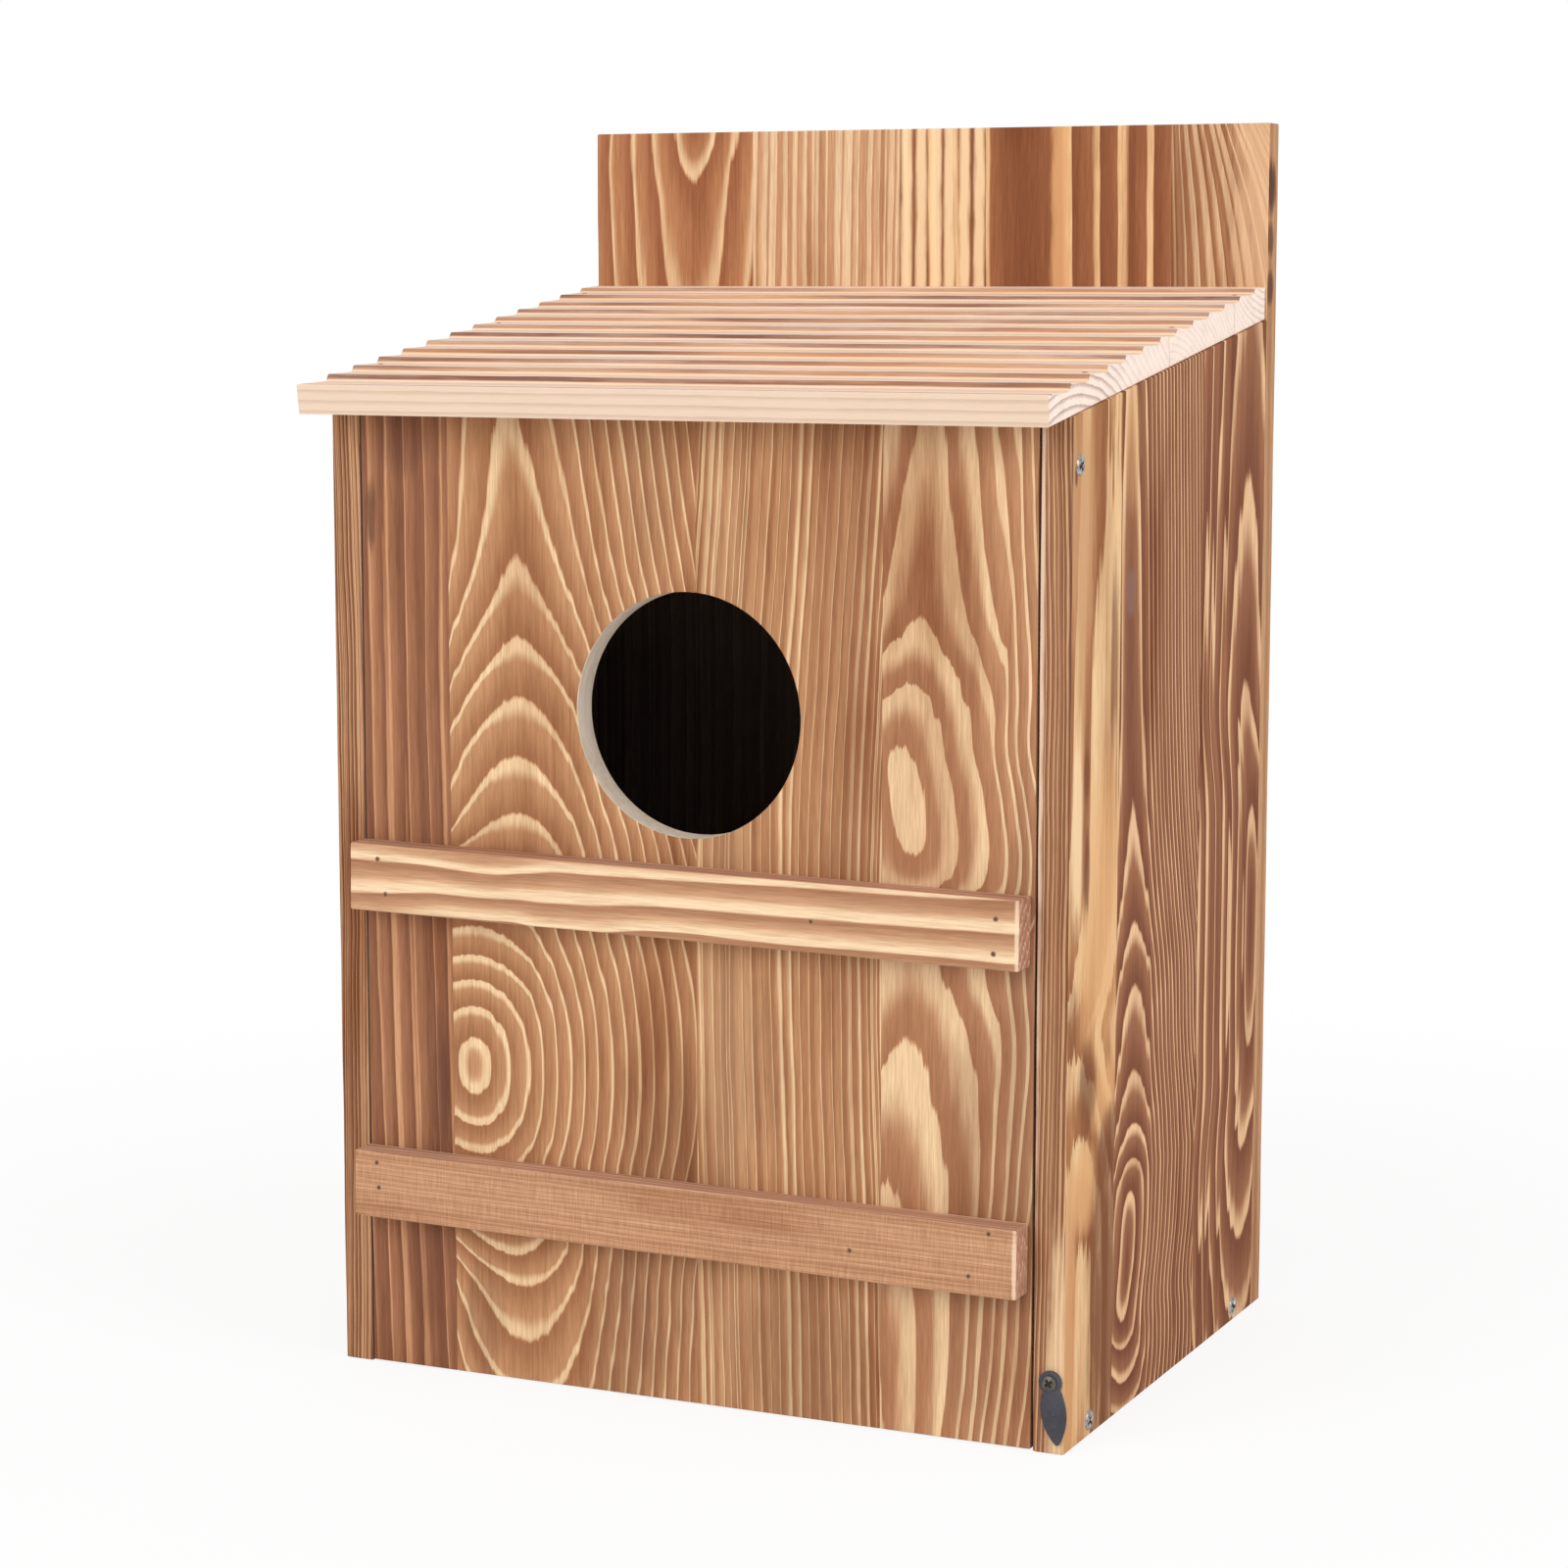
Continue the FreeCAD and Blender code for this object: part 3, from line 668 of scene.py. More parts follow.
# %% [markdown]
# The upright boards come first: the side walls, the back board and the door's outer staves. A wall's top is
# cut along the roof's underside, so its stations end on that sloping line. Glued edges are almost sharp and
# only leave a hairline, and free edges are eased by about half a millimetre.

# %% Upright boards
GLUED = 0.07 * MM
FREE = 0.55 * MM
HEAD_ROOM = 0.15 * MM
WEAR_PITCH = 17 * MM


def under_roof(y):
    """Height of the roof's underside above a point: a straight line that climbs to the back."""
    return EAVE_Z + (y - EAVE_Y) * math.tan(SLOPE)


def worn(ease, along, seed):
    """How much each corner is eased at each station: its own ease, up to half more or less."""
    wear = [1 + 0.5 * wander(along, WEAR_PITCH, seed + corner) for corner in range(len(ease))]
    return np.stack(wear, axis=1) * np.array(ease)


def upright_board(node, ease, materials, slot_of_side, roofed=False, shaded_below=0.0, head_room=0.0):
    """A rectangle in x and y, its corners eased, carried up z to the board's top or to the roof.

    Below the height shaded_below, the front face takes the last material, the painted shade inside the box.
    The rear face lies inside the frame's by head_room, so that low screw heads can stand on it.
    """
    low, high = cad[node]
    high = high - np.array([0.0, head_room, 0.0])
    share, shift, draw = stations(high[2] - low[2])
    corner_ease = worn(ease, share * (high[2] - low[2]), boards[node]["seed"])
    section = swept(rectangle(low[:2], high[:2]), draw, corner_ease)
    top = under_roof(section[..., 1]) if roofed else np.full(section.shape[:2], high[2])
    z = low[2] + share[:, None] * (top - low[2]) + shift[:, None]
    loops = np.stack([section[..., 0], section[..., 1], z], axis=-1)
    side_slots, smooth = slots_round(4, slot_of_side)
    # Faces inside the box below the roof take the last material: painted shade of the closed box.
    painted_shade = (z[1:, :1] < shaded_below) & (slots_round(4, (1, 0, 0, 0))[0] == 1)
    slots = np.where(painted_shade, len(materials) - 1, side_slots)
    return join_loops(node + "_wood", loops, materials, slots, smooth)


for side, slot_of_side in (("left", (1, 2, 1, 0)), ("right", (1, 0, 1, 2))):
    for stave in ("front", "middle", "rear"):
        node = f"{side}_side_{stave}_stave"
        ahead = FREE if stave == "front" else GLUED
        behind = FREE if stave == "rear" else GLUED
        ease = (ahead, ahead, behind, behind)
        materials = [face_wood[node], front_edge_wood, inner_side_wood]
        piece = upright_board(node, ease, materials, slot_of_side, roofed=True)
        stand_in(piece, node, "carcase")

for stave in ("left", "middle_left", "middle_right", "right"):
    node = f"back_{stave}_stave"
    left = FREE if stave == "left" else GLUED
    right = FREE if stave == "right" else GLUED
    edge_wood = burnt_edge_wood if stave == "right" else side_edge_wood
    materials = [face_wood[node], edge_wood, inner_cross_wood]
    ease = (left, right, right, left)
    piece = upright_board(
        node, ease, materials, (0, 1, 0, 1), shaded_below=under_roof(BACK_Y), head_room=HEAD_ROOM
    )
    stand_in(piece, node, "carcase")

for node, ease in (
    ("door_left_stave", (FREE, GLUED, GLUED, FREE)),
    ("door_right_stave", (GLUED, FREE, FREE, GLUED)),
):
    piece = upright_board(node, ease, [face_wood[node], side_edge_wood, inner_cross_wood], (0, 1, 2, 1))
    stand_in(piece, node, "front_door")
print(f"walls {under_roof(FRONT_Y):.4f} m tall in front, {under_roof(BACK_Y):.4f} m at the back")

# %% [markdown]
# The two middle staves of the door are cut by the round entrance. Each is a fan of straight rulings from its
# plain edge to its other edge, which runs up the glue joint, round the hole and up the joint again. On the
# plain edge the fan spreads a little wider than the hole, so no two rulings cross.

# %% Door staves with the entrance
HOLE_RADIUS = 38 * MM
HOLE_X = 0.0
HOLE_Z = 217.5 * MM
FAN_SPREAD = 1.16
ARC_STEPS = 120


def hole_stave(node, plain_x, joint_x, turn):
    """Rulings from the plain edge to the joint and hole; turn is +1 or -1, the way round the hole's arc."""
    low, high = cad[node]
    reach = math.sqrt(HOLE_RADIUS**2 - (joint_x - HOLE_X) ** 2)
    start = math.atan2(-reach, joint_x - HOLE_X)
    end = -start if turn > 0 else -2 * math.pi - start
    sweep = np.linspace(start, end, ARC_STEPS)
    share, shift, draw = stations(HOLE_Z - reach - low[2])
    lower = share < 1
    lower_z = low[2] + share[lower] * (HOLE_Z - reach - low[2]) + shift[lower]
    upper_share, upper_shift, upper_draw = stations(high[2] - HOLE_Z - reach)
    upper = upper_share > 0
    upper_z = HOLE_Z + reach + upper_share[upper] * (high[2] - HOLE_Z - reach) + upper_shift[upper]
    arc_x = HOLE_X + HOLE_RADIUS * np.cos(sweep)
    edge_x = np.concatenate([0 * lower_z + joint_x, arc_x, 0 * upper_z + joint_x])
    edge_z = np.concatenate([lower_z, HOLE_Z + HOLE_RADIUS * np.sin(sweep), upper_z])
    spread = HOLE_RADIUS * FAN_SPREAD
    plain_lower = np.interp(lower_z, [low[2], HOLE_Z - reach], [low[2], HOLE_Z - spread])
    plain_upper = np.interp(upper_z, [HOLE_Z + reach, high[2]], [HOLE_Z + spread, high[2]])
    plain_arc = np.linspace(HOLE_Z - spread, HOLE_Z + spread, ARC_STEPS)
    plain_z = np.concatenate([plain_lower, plain_arc, plain_upper])
    inset = np.concatenate([draw[lower], 0 * sweep, upper_draw[upper]])
    length = np.hypot(edge_x - plain_x, edge_z - plain_z)
    across = np.stack([0 * length, length, length, 0 * length], axis=1)
    depth = np.broadcast_to([low[1], low[1], high[1], high[1]], across.shape)
    corners = np.stack([across, depth], axis=-1)
    in_hole = np.concatenate([0 * lower_z, 0 * sweep + 1, 0 * upper_z]).astype(bool)
    ease = worn((GLUED,) * 4, plain_z, boards[node]["seed"])
    ease[in_hole, 1:3] *= FREE / GLUED
    section = eased(drawn_in(corners, inset), ease)
    along = section[..., 0] / length[:, None]
    x = plain_x + along * (edge_x - plain_x)[:, None]
    z = plain_z[:, None] + along * (edge_z - plain_z)[:, None]
    loops = np.stack([x, section[..., 1], z], axis=-1)
    side_slots, smooth = slots_round(4, (0, 1, 2, 0))
    sawn = (in_hole[:-1] & in_hole[1:])[:, None] & (side_slots == 1)
    slots = np.where(sawn | (side_slots != 1), side_slots, 0)
    materials = [face_wood[node], hole_wood, inner_cross_wood]
    return join_loops(node + "_wood", loops, materials, slots, smooth | sawn)


joint_x = cad["door_hole_left_stave"][1, 0]
for node, plain_x, turn in (
    ("door_hole_left_stave", cad["door_hole_left_stave"][0, 0], -1),
    ("door_hole_right_stave", cad["door_hole_right_stave"][1, 0], 1),
):
    piece = hole_stave(node, plain_x, joint_x, turn)
    stand_in(piece, node, "front_door")
print(f"entrance {2000 * HOLE_RADIUS:.0f} mm across, {1000 * HOLE_Z:.1f} mm up")

# %% [markdown]
# The floor lies between the walls, and the two battens lie across the door. These boards run from left to
# right, so their sections lie in y and z and are carried along x. The battens were nailed on a little out of
# level, so their loops are turned about the batten's middle.

# %% Floor and battens
BATTEN_LENGTH = 227.8 * MM
BATTEN_TALL = 21.6 * MM
BATTEN_THICK = 10 * MM
BATTEN_EASE = (0.8 * MM, 0.1 * MM, 0.8 * MM, 0.8 * MM)
FLOOR_EASE = (0.3 * MM,) * 4
BATTEN_LEFT = LEFT_X + 10.2 * MM
BATTEN_MIDDLE = BATTEN_LEFT + BATTEN_LENGTH / 2
# Each batten's middle height, and how far its right end hangs below its left end.
battens = {"upper_batten": (160.3 * MM, 2.9 * MM), "lower_batten": (60.7 * MM, 2.3 * MM)}


def level_board(low, high, ease, seed):
    """A rectangle in y and z, its corners eased, carried along x. Sides: underneath, rear, top, front."""
    share, shift, draw = stations(high[0] - low[0])
    along = low[0] + share * (high[0] - low[0]) + shift
    section = swept(rectangle(low[1:], high[1:]), draw, worn(ease, along, seed))
    x = np.broadcast_to(along[:, None], section.shape[:2])
    return np.stack([x, section[..., 0], section[..., 1]], axis=-1)


ON_FLOOR = {"axes": "YZX", "origin": (FRONT_Y, LEFT_X), "face": BOARD}
floor_figures = {
    "floor_front_stave": dict(ON_FLOOR, seed=64, spacing=5.0, figure=((0, 20, 3), (250, 60, 4))),
    "floor_middle_stave": dict(
        ON_FLOOR, seed=67, spacing=5.5, figure=((0, 96, 0.2), (120, 97, 3), (250, 99, 8))
    ),
    "floor_rear_stave": dict(ON_FLOOR, seed=70, spacing=4.5, figure=((0, 220, 3), (250, 230, 3))),
}
for node, wood in floor_figures.items():
    low, high = cad[node]
    loops = level_board(low, high, FLOOR_EASE, wood["seed"])
    materials = [torched_wood(node + "_grain", **wood), inner_side_wood]
    piece = join_loops(node + "_wood", loops, materials, *slots_round(4, (0, 0, 1, 0)))
    stand_in(piece, node, "carcase")

ON_BATTEN = {"axes": "ZYX", "origin": (0.0, LEFT_X), "face": DOOR_Y - BATTEN_THICK}
UPPER_BATTEN_FIGURE = (
    (0, 188.6, 0.05, 10.6), (12, 188, 0.05, 10.3), (61, 180, 0.05, 7.2), (88, 186.3, 0.05, 9.2),
    (124, 183.9, 0.05, 8), (167, 186.4, 0.05, 8.9), (205, 186.3, 0.05, 8.8), (240, 188.6, 0.05, 9.5),
)
ROSY = tones((178, 130, 106), (204, 156, 128), (234, 196, 168))
STRIPED = tones((178, 130, 98), (214, 170, 132), (248, 218, 180))
SAWN = tones((184, 136, 103), (204, 156, 120), (232, 194, 157))
ARRIS = srgb(236, 206, 178)
batten_figures = {
    "upper_batten": dict(
        ON_BATTEN, **STRIPED, seed=73, late=0.42, plateau=0.02, edge=0.05, wave=0.6, jag=0.05, uneven=0.2,
        thin=0.0, contrast=1.1, figure=UPPER_BATTEN_FIGURE, patches=((237.5, 158, 1.0, 20, 0.7, ARRIS),),
    ),
    "lower_batten": dict(
        ON_BATTEN, **SAWN, seed=76, spacing=1.5, late=0.5, contrast=0.25, jag=0.2, sawn=1.6,
        figure=((0, 20, 1), (250, 18, 1)), patches=((237.5, 59, 1.0, 20, 0.7, ARRIS),),
    ),
}
batten_top_wood = torched_wood(
    "batten_top_grain", **ROSY, axes="YZX", origin=(FRONT_Y, LEFT_X), face=0.0, seed=79, spacing=2.0,
    late=0.4, figure=((0, 30, 2), (250, 32, 2)),
)
for node, (middle_z, drop) in battens.items():
    wood = batten_figures[node]
    low = np.array([BATTEN_LEFT, cad[node][0, 1], middle_z - BATTEN_TALL / 2])
    high = np.array([BATTEN_LEFT + BATTEN_LENGTH, cad[node][1, 1], middle_z + BATTEN_TALL / 2])
    loops = level_board(low, high, BATTEN_EASE, wood["seed"])
    turn = math.atan2(drop, BATTEN_LENGTH)
    aside = loops[..., 0] - BATTEN_MIDDLE
    rise = loops[..., 2] - middle_z
    loops[..., 0] = BATTEN_MIDDLE + aside * math.cos(turn) + rise * math.sin(turn)
    loops[..., 2] = middle_z - aside * math.sin(turn) + rise * math.cos(turn)
    materials = [torched_wood(node + "_grain", **wood), batten_top_wood]
    piece = join_loops(node + "_wood", loops, materials, *slots_round(4, (1, 0, 1, 0)), cap_slot=1)
    stand_in(piece, node, "front_door")
    print(f"{node} turned by {math.degrees(turn):.2f} degrees")

# %% [markdown]
# The roof is one plank whose top is moulded into thirteen shallow steps, glued up from three staves. Each
# stave's section is its part of the stepped outline, as distance up the slope and height above the underside.

# %% Roof outline
ROOF_REAR_THICK = 11.9 * MM
ROOF_LENGTH = (BACK_Y - EAVE_Y) / math.cos(SLOPE)
FIRST_STEP = 18.9 * MM
STEP_PITCH = 15.85 * MM
RISER_RUN = 1.7 * MM
FRONT_TREAD_FALL = 1.75 * MM
REAR_TREAD_FALL = 1.25 * MM
ROOF_JOINTS = (106 * MM, 171 * MM)
STEPS = 13

crest = np.concatenate([[0.0], FIRST_STEP + STEP_PITCH * np.arange(STEPS)])
crest_height = ROOF_FRONT_THICK + (ROOF_REAR_THICK - ROOF_FRONT_THICK) * crest / ROOF_LENGTH
tread_fall = FRONT_TREAD_FALL + (REAR_TREAD_FALL - FRONT_TREAD_FALL) * crest / ROOF_LENGTH
steps_along = np.stack([crest[:-1], crest[1:] - RISER_RUN], axis=1).ravel()
steps_height = np.stack([crest_height[:-1], crest_height[:-1] - tread_fall[:-1]], axis=1).ravel()


def top_height(up_slope):
    """Height of the stepped top above the underside: straight lines between crests and feet."""
    return np.interp(up_slope, steps_along, steps_height)


def on_slope(up_slope, height):
    """The y and z of a point, from its distance up the slope and its height above the underside."""
    y = EAVE_Y + up_slope * math.cos(SLOPE) - height * math.sin(SLOPE)
    z = EAVE_Z + up_slope * math.sin(SLOPE) + height * math.cos(SLOPE)
    return y, z


def roof_section(start, end):
    """One stave's outline, anticlockwise from its lower front corner.

    The plank's rear end is plumb, so there the top reaches further up the slope than the underside.
    """
    lean = math.tan(SLOPE) if end == ROOF_LENGTH else 0.0
    end_height = top_height(end + top_height(end) * lean)
    top_end = end + end_height * lean
    inside = (steps_along > start) & (steps_along < top_end)
    top = np.stack([steps_along[inside], steps_height[inside]], axis=1)[::-1]
    return np.array([(start, 0.0), (end, 0.0), (top_end, end_height), *top, (start, top_height(start))])


roof_sections = {
    "roof_front_stave": roof_section(0.0, ROOF_JOINTS[0]),
    "roof_middle_stave": roof_section(*ROOF_JOINTS),
    "roof_rear_stave": roof_section(ROOF_JOINTS[1], ROOF_LENGTH),
}
print("corners of the roof sections:", [len(section) for section in roof_sections.values()])

# %% [markdown]
# The crests and the upper part of each riser are burnt dark, the foot of each riser stays pale, and the
# treads turn golden towards the next crest. The sawn front edge and the ends are bare, with the rings showing
# as arcs about each stave's own pith line, which lies well outside the plank.

# %% Roof finishes
ROOF_LEFT = cad["roof_front_stave"][0, 0]
ROOF_RIGHT = cad["roof_front_stave"][1, 0]
ROOF_AXES = "YZX"
# The pith line of each stave, in millimetres up the slope and above the underside, and its ring spacing.
ROOF_PITH = {
    "roof_front_stave": (15, -68, 3.1),
    "roof_middle_stave": (100, -45, 2.3),
    "roof_rear_stave": (211, 47, 2.3),
}
CREAM = srgb(217, 193, 171)
TAN_LINE = srgb(190, 162, 138)
END_PALE = srgb(243, 225, 212)
END_LINE = srgb(150, 108, 98)
TREAD_FOOT = srgb(244, 224, 212)
TREAD_GOLD = srgb(234, 196, 163)
CHAR_DARK = srgb(118, 77, 64)
CHAR_LIGHT = srgb(200, 147, 110)
ROOF_GLOSS = {"Specular IOR Level": 0.1}


def roof_rings(wire, place, node, seed):
    """Distance up the slope, and the share of its ring, at each point.

    The ring number is the distance from the pith line over the ring spacing, and its share is what is left
    after the whole rings.
    """
    parts = wire.node("SeparateXYZ", {}, {"Vector": place})
    y = parts.beside("Y") - EAVE_Y
    z = parts.beside("Z") - EAVE_Z
    up_slope = y * math.cos(SLOPE) + z * math.sin(SLOPE)
    height = z * math.cos(SLOPE) - y * math.sin(SLOPE)
    pith_along, pith_height, spacing = ROOF_PITH[node]
    sway = along_grain(wire, place, ROOF_AXES, (12 * MM, 90 * MM), seed)
    jag = along_grain(wire, place, ROOF_AXES, (1.2 * MM, 30 * MM), seed + 1)
    aside = up_slope - pith_along * MM + sway * (4 * MM)
    above = height - pith_height * MM
    number = (aside * aside + above * above) ** 0.5 / (spacing * MM) + jag * 0.25
    return up_slope, number.math("FRACT")


def roof_bare_wood(node, seed, face, base, ring_tone):
    """A sawn face of the roof: pale wood with thin ring lines, strongest in front, fibres and stains."""
    material, wire, place = new_material(f"{node}_{face}_wood")
    up_slope, share = roof_rings(wire, place, node, seed)
    contrast = 0.6 - up_slope.step(45 * MM, 75 * MM) * 0.46 + up_slope.step(175 * MM, 195 * MM) * 0.2
    line = share.step(0.4, 0.88) * (1 - share.step(0.9, 0.98))
    fibre = along_grain(wire, place, ROOF_AXES, (0.5 * MM, 5 * MM), seed + 4, 3.0)
    stain = along_grain(wire, place, ROOF_AXES, (6 * MM, 40 * MM), seed + 6, 3.0)
    ringed = (line * contrast + fibre * 0.4 + stain * 0.4).math("MINIMUM", 1.0).mix(base, ring_tone)
    finish_surface(wire, ringed, 0.75 + fibre * 0.2, fibre + line * 0.4, 0.2 * MM, 0.5, ROOF_GLOSS)
    return material


def roof_top_wood(node, seed):
    """The stepped top: pale treads that turn golden to the back, and a burnt line over each crest."""
    material, wire, place = new_material(node + "_top")
    up_slope, share = roof_rings(wire, place, node, seed)
    line = share.step(0.55, 0.9) * (1 - share.step(0.9, 1.0))
    flame = along_grain(wire, place, ROOF_AXES, (6 * MM, 90 * MM), seed + 5, 5.0)
    patch = along_grain(wire, place, ROOF_AXES, (6 * MM, 110 * MM), seed + 6, 4.0)
    fibre = along_grain(wire, place, ROOF_AXES, (0.5 * MM, 9 * MM), seed + 8, 3.0)
    phase = ((up_slope - FIRST_STEP) / STEP_PITCH + 4.0).math("FRACT")
    crest_line = (phase.step(0.915, 0.945) + (1 - phase.step(0.025, 0.045))).math("MINIMUM", 1.0)
    burnt = crest_line * (0.84 + flame * 1.7 + fibre * 0.4)
    golden = (phase.step(0.1, 0.6) * 0.8 + line * 0.3 + fibre * 0.7 + patch * 0.8).math("MINIMUM", 1.0)
    tread = golden.math("MAXIMUM", 0.0).mix(TREAD_FOOT, TREAD_GOLD)
    char = (patch * 2.6 + 0.45).step(0.0, 1.0).mix(CHAR_DARK, CHAR_LIGHT)
    colour = burnt.math("MINIMUM", 0.95).math("MAXIMUM", 0.0).mix(tread, char)
    finish_surface(wire, colour, 0.7 + fibre * 0.2, fibre + line * 0.5, 0.25 * MM, 0.6, ROOF_GLOSS)
    return material


print("roof finishes ready")

# %% [markdown]
# Each stave's outline is carried along x on the slope. On the real plank no crest is dead straight, so every
# crest and foot sinks and sways a little on its way, and its corner wears.

# %% Roof staves
ROOF_STATION = 3 * MM
CREST_SINK = 0.1 * MM
CREST_SWAY = 0.15 * MM
SINK_PITCH = 23 * MM
SWAY_PITCH = 31 * MM
CREST_EASE = 0.35 * MM
END_DRAW = 0.6


def roof_stave(node, outline, seed):
    """The stepped outline carried along x; its upper corners wander by up to 0.2 mm."""
    share, shift, draw = stations(ROOF_RIGHT - ROOF_LEFT, ROOF_STATION)
    along = ROOF_LEFT + share * (ROOF_RIGHT - ROOF_LEFT) + shift
    corners = np.repeat(outline[None], len(share), axis=0)
    count = len(outline)
    for corner in range(3, count - 1):
        corners[:, corner, 1] -= CREST_SINK * (1 + wander(along, SINK_PITCH, seed + corner))
        corners[:, corner, 0] += CREST_SWAY * wander(along, SWAY_PITCH, seed + 40 + corner)
    ease = [GLUED if joint else CREST_EASE for joint in (outline[:, 1] == 0) | (np.arange(count) == 2)]
    section = eased(drawn_in(corners, draw * END_DRAW), worn(ease, along, seed))
    y, z = on_slope(section[..., 0], section[..., 1])
    loops = np.stack([np.broadcast_to(along[:, None], y.shape), y, z], axis=-1)
    slot_of_side = [0, 0] + [1] * (count - 3) + [0]
    side_slots, smooth = slots_round(count, slot_of_side)
    front_wood = roof_bare_wood(node, seed, "front", CREAM, TAN_LINE)
    end_wood = roof_bare_wood(node, seed, "end", END_PALE, END_LINE)
    materials = [front_wood, roof_top_wood(node, seed), end_wood]
    return join_loops(node + "_wood", loops, materials, side_slots, smooth, cap_slot=2)


for number, (node, outline) in enumerate(roof_sections.items()):
    piece = roof_stave(node, outline, 80 + 90 * number)
    stand_in(piece, node, "carcase")
print(f"roof {ROOF_RIGHT - ROOF_LEFT:.4f} m wide, {ROOF_LENGTH:.4f} m up the slope")

# %% [markdown]
# The fasteners are small but they catch the light. Their metal is never one even tone: zinc dulls in spots,
# brads rust, and the black button wears grey. So each finish mixes two tones by noise, and the same noise
# varies the gloss.

# %% Metal finishes


def metal(name, dark, light, metallic, rough, seed, grit):
    """Metal with fine mottling: two tones mixed by noise, which also varies the gloss."""
    material, wire, place = new_material(name)
    coarse = along_grain(wire, place, "XYZ", (grit, grit), seed, 4.0)
    fine = along_grain(wire, place, "XYZ", (grit / 6, grit / 6), seed + 2, 2.0)
    tone = (coarse * 1.8 + fine * 0.8 + 0.5).step(0.0, 1.0).mix(dark, light)
    finish_surface(wire, tone, rough + coarse * 0.25, fine, 0.05 * MM, 0.4, {"Metallic": metallic})
    return material


zinc = metal("zinc_steel", srgb(104, 95, 90), srgb(196, 190, 182), 0.9, 0.4, 91, 2 * MM)
brad_metal = metal("brad_steel", srgb(70, 50, 38), srgb(104, 78, 60), 0.4, 0.6, 93, 1 * MM)
rust_rim = metal("rusty_rim", srgb(132, 92, 64), srgb(176, 128, 92), 0.1, 0.7, 94, 1 * MM)
black_metal = metal("black_steel", srgb(44, 44, 51), srgb(62, 62, 70), 0.2, 0.45, 95, 9 * MM)
worn_metal = metal("worn_steel", srgb(62, 57, 51), srgb(112, 104, 94), 0.5, 0.45, 99, 2 * MM)
# The dark metal in the screws' cross recesses is painted shade.
recess_shade_metal = metal("recess_shade_steel", srgb(30, 23, 19), srgb(56, 44, 37), 0.1, 0.8, 97, 1 * MM)
print("metal finishes ready")

# %% [markdown]
# A screw is a surface of revolution whose head has a cross pressed into it. On a polar grid, the height of
# each point is the head's crown less the depth of the cross, where the cross is the union of two slots with
# soft edges. The rings are drawn about z, and then turned to point out of their board.

# %% Screws
ROUND_STEPS = 72
HEAD_STEPS = 26
SLOT_SOFT = 0.16 * MM
RECESS_TAPER = 0.45


def slot_shape(x, y, half_width, half_span):
    """1 inside one slot of a cross recess, 0 outside, with a straight ramp at its edge."""
    across = np.clip((half_width - np.abs(x)) / SLOT_SOFT + 0.5, 0, 1)
    lengthwise = np.clip((half_span - np.abs(y)) / SLOT_SOFT + 0.5, 0, 1)
    return across * lengthwise


def revolved(profile, steps):
    """Rings about z through (radius, height) points: (radius * cos a, radius * sin a, height)."""
    radius, height = np.array(profile).T[..., None]
    angle = np.linspace(0, 2 * math.pi, steps, endpoint=False)
    x = radius * np.cos(angle)
    return np.stack([x, radius * np.sin(angle), np.broadcast_to(height, x.shape)], axis=-1)


def turned_piece(profile, head_radius, recess_width, recess_span, recess_depth):
    """Rings about z and their face slots: the head with its cross, then the profile below it."""
    crown, below = profile
    radius = np.linspace(0.02, 1, HEAD_STEPS) * head_radius
    head = revolved(np.stack([radius, np.interp(radius, *zip(*crown))], axis=1), ROUND_STEPS)
    x, y = head[..., 0], head[..., 1]
    one = slot_shape(x, y, recess_width / 2, recess_span / 2)
    other = slot_shape(y, x, recess_width / 2, recess_span / 2)
    cross = np.maximum(one, other)
    taper = 1 - RECESS_TAPER * radius[:, None] / head_radius
    head[..., 2] -= recess_depth * taper * cross
    # The faces of the cross take the second material, a dark metal painted as the shade in the recess.
    painted_shade = np.concatenate([cross[1:] > 0.4, np.zeros((len(below), ROUND_STEPS), bool)]).astype(int)
    return np.concatenate([head, revolved(below, ROUND_STEPS)]), painted_shade


def aimed(loops, head, outwards, spin):
    """Turn rings drawn about z so that z points outwards, spin them, and move them to the head's place."""
    outwards = np.array(outwards, float)
    side = np.cross(outwards, (0, 0, 1.0)) if abs(outwards[2]) < 0.99 else np.array([1.0, 0, 0])
    side = side / np.linalg.norm(side)
    up = np.cross(outwards, side)
    first = side * math.cos(spin) + up * math.sin(spin)
    second = up * math.cos(spin) - side * math.sin(spin)
    return np.array(head) + loops[..., :1] * first + loops[..., 1:2] * second + loops[..., 2:] * outwards


def gathered(node, stacks, materials, slots, body):
    """Mesh each fastener's rings and join them into one piece that stands in for the node."""
    made = []
    for number, loops in enumerate(stacks):
        made.append(join_loops(f"{node}_{number}", loops, materials, slots, True, slots[0, 0]))
    if len(made) > 1:
        with bpy.context.temp_override(active_object=made[0], object=made[0], selected_editable_objects=made):
            bpy.ops.object.join()
    made[0].name = node + "_metal"
    made[0].data.name = node + "_metal"
    stand_in(made[0], node, body)


SCREW_HEAD = 6.5 * MM
SCREW_SHANK = 3.5 * MM
SCREW_LENGTH = 30 * MM
SCREW_RIM = 0.4 * MM
SCREW_PROUD = 0.7 * MM
RECESS_WIDTH = 1.2 * MM
RECESS_SPAN = 4.2 * MM


def screw_rings(proud):
    """Rings and face slots of a countersunk screw whose low domed head stands so far proud of the wood."""
    head = SCREW_HEAD / 2
    shank = SCREW_SHANK / 2
    crown = ((0.0, proud), (0.6 * head, 0.95 * proud), (0.88 * head, 0.7 * proud), (head, 0.0))
    below = (
        (head, -SCREW_RIM), (shank, shank - head - SCREW_RIM), (shank, 2.6 * shank - SCREW_LENGTH),
        (0.02 * MM, -SCREW_LENGTH),
    )
    return turned_piece((crown, below), head, RECESS_WIDTH, RECESS_SPAN, 0.85 * proud)


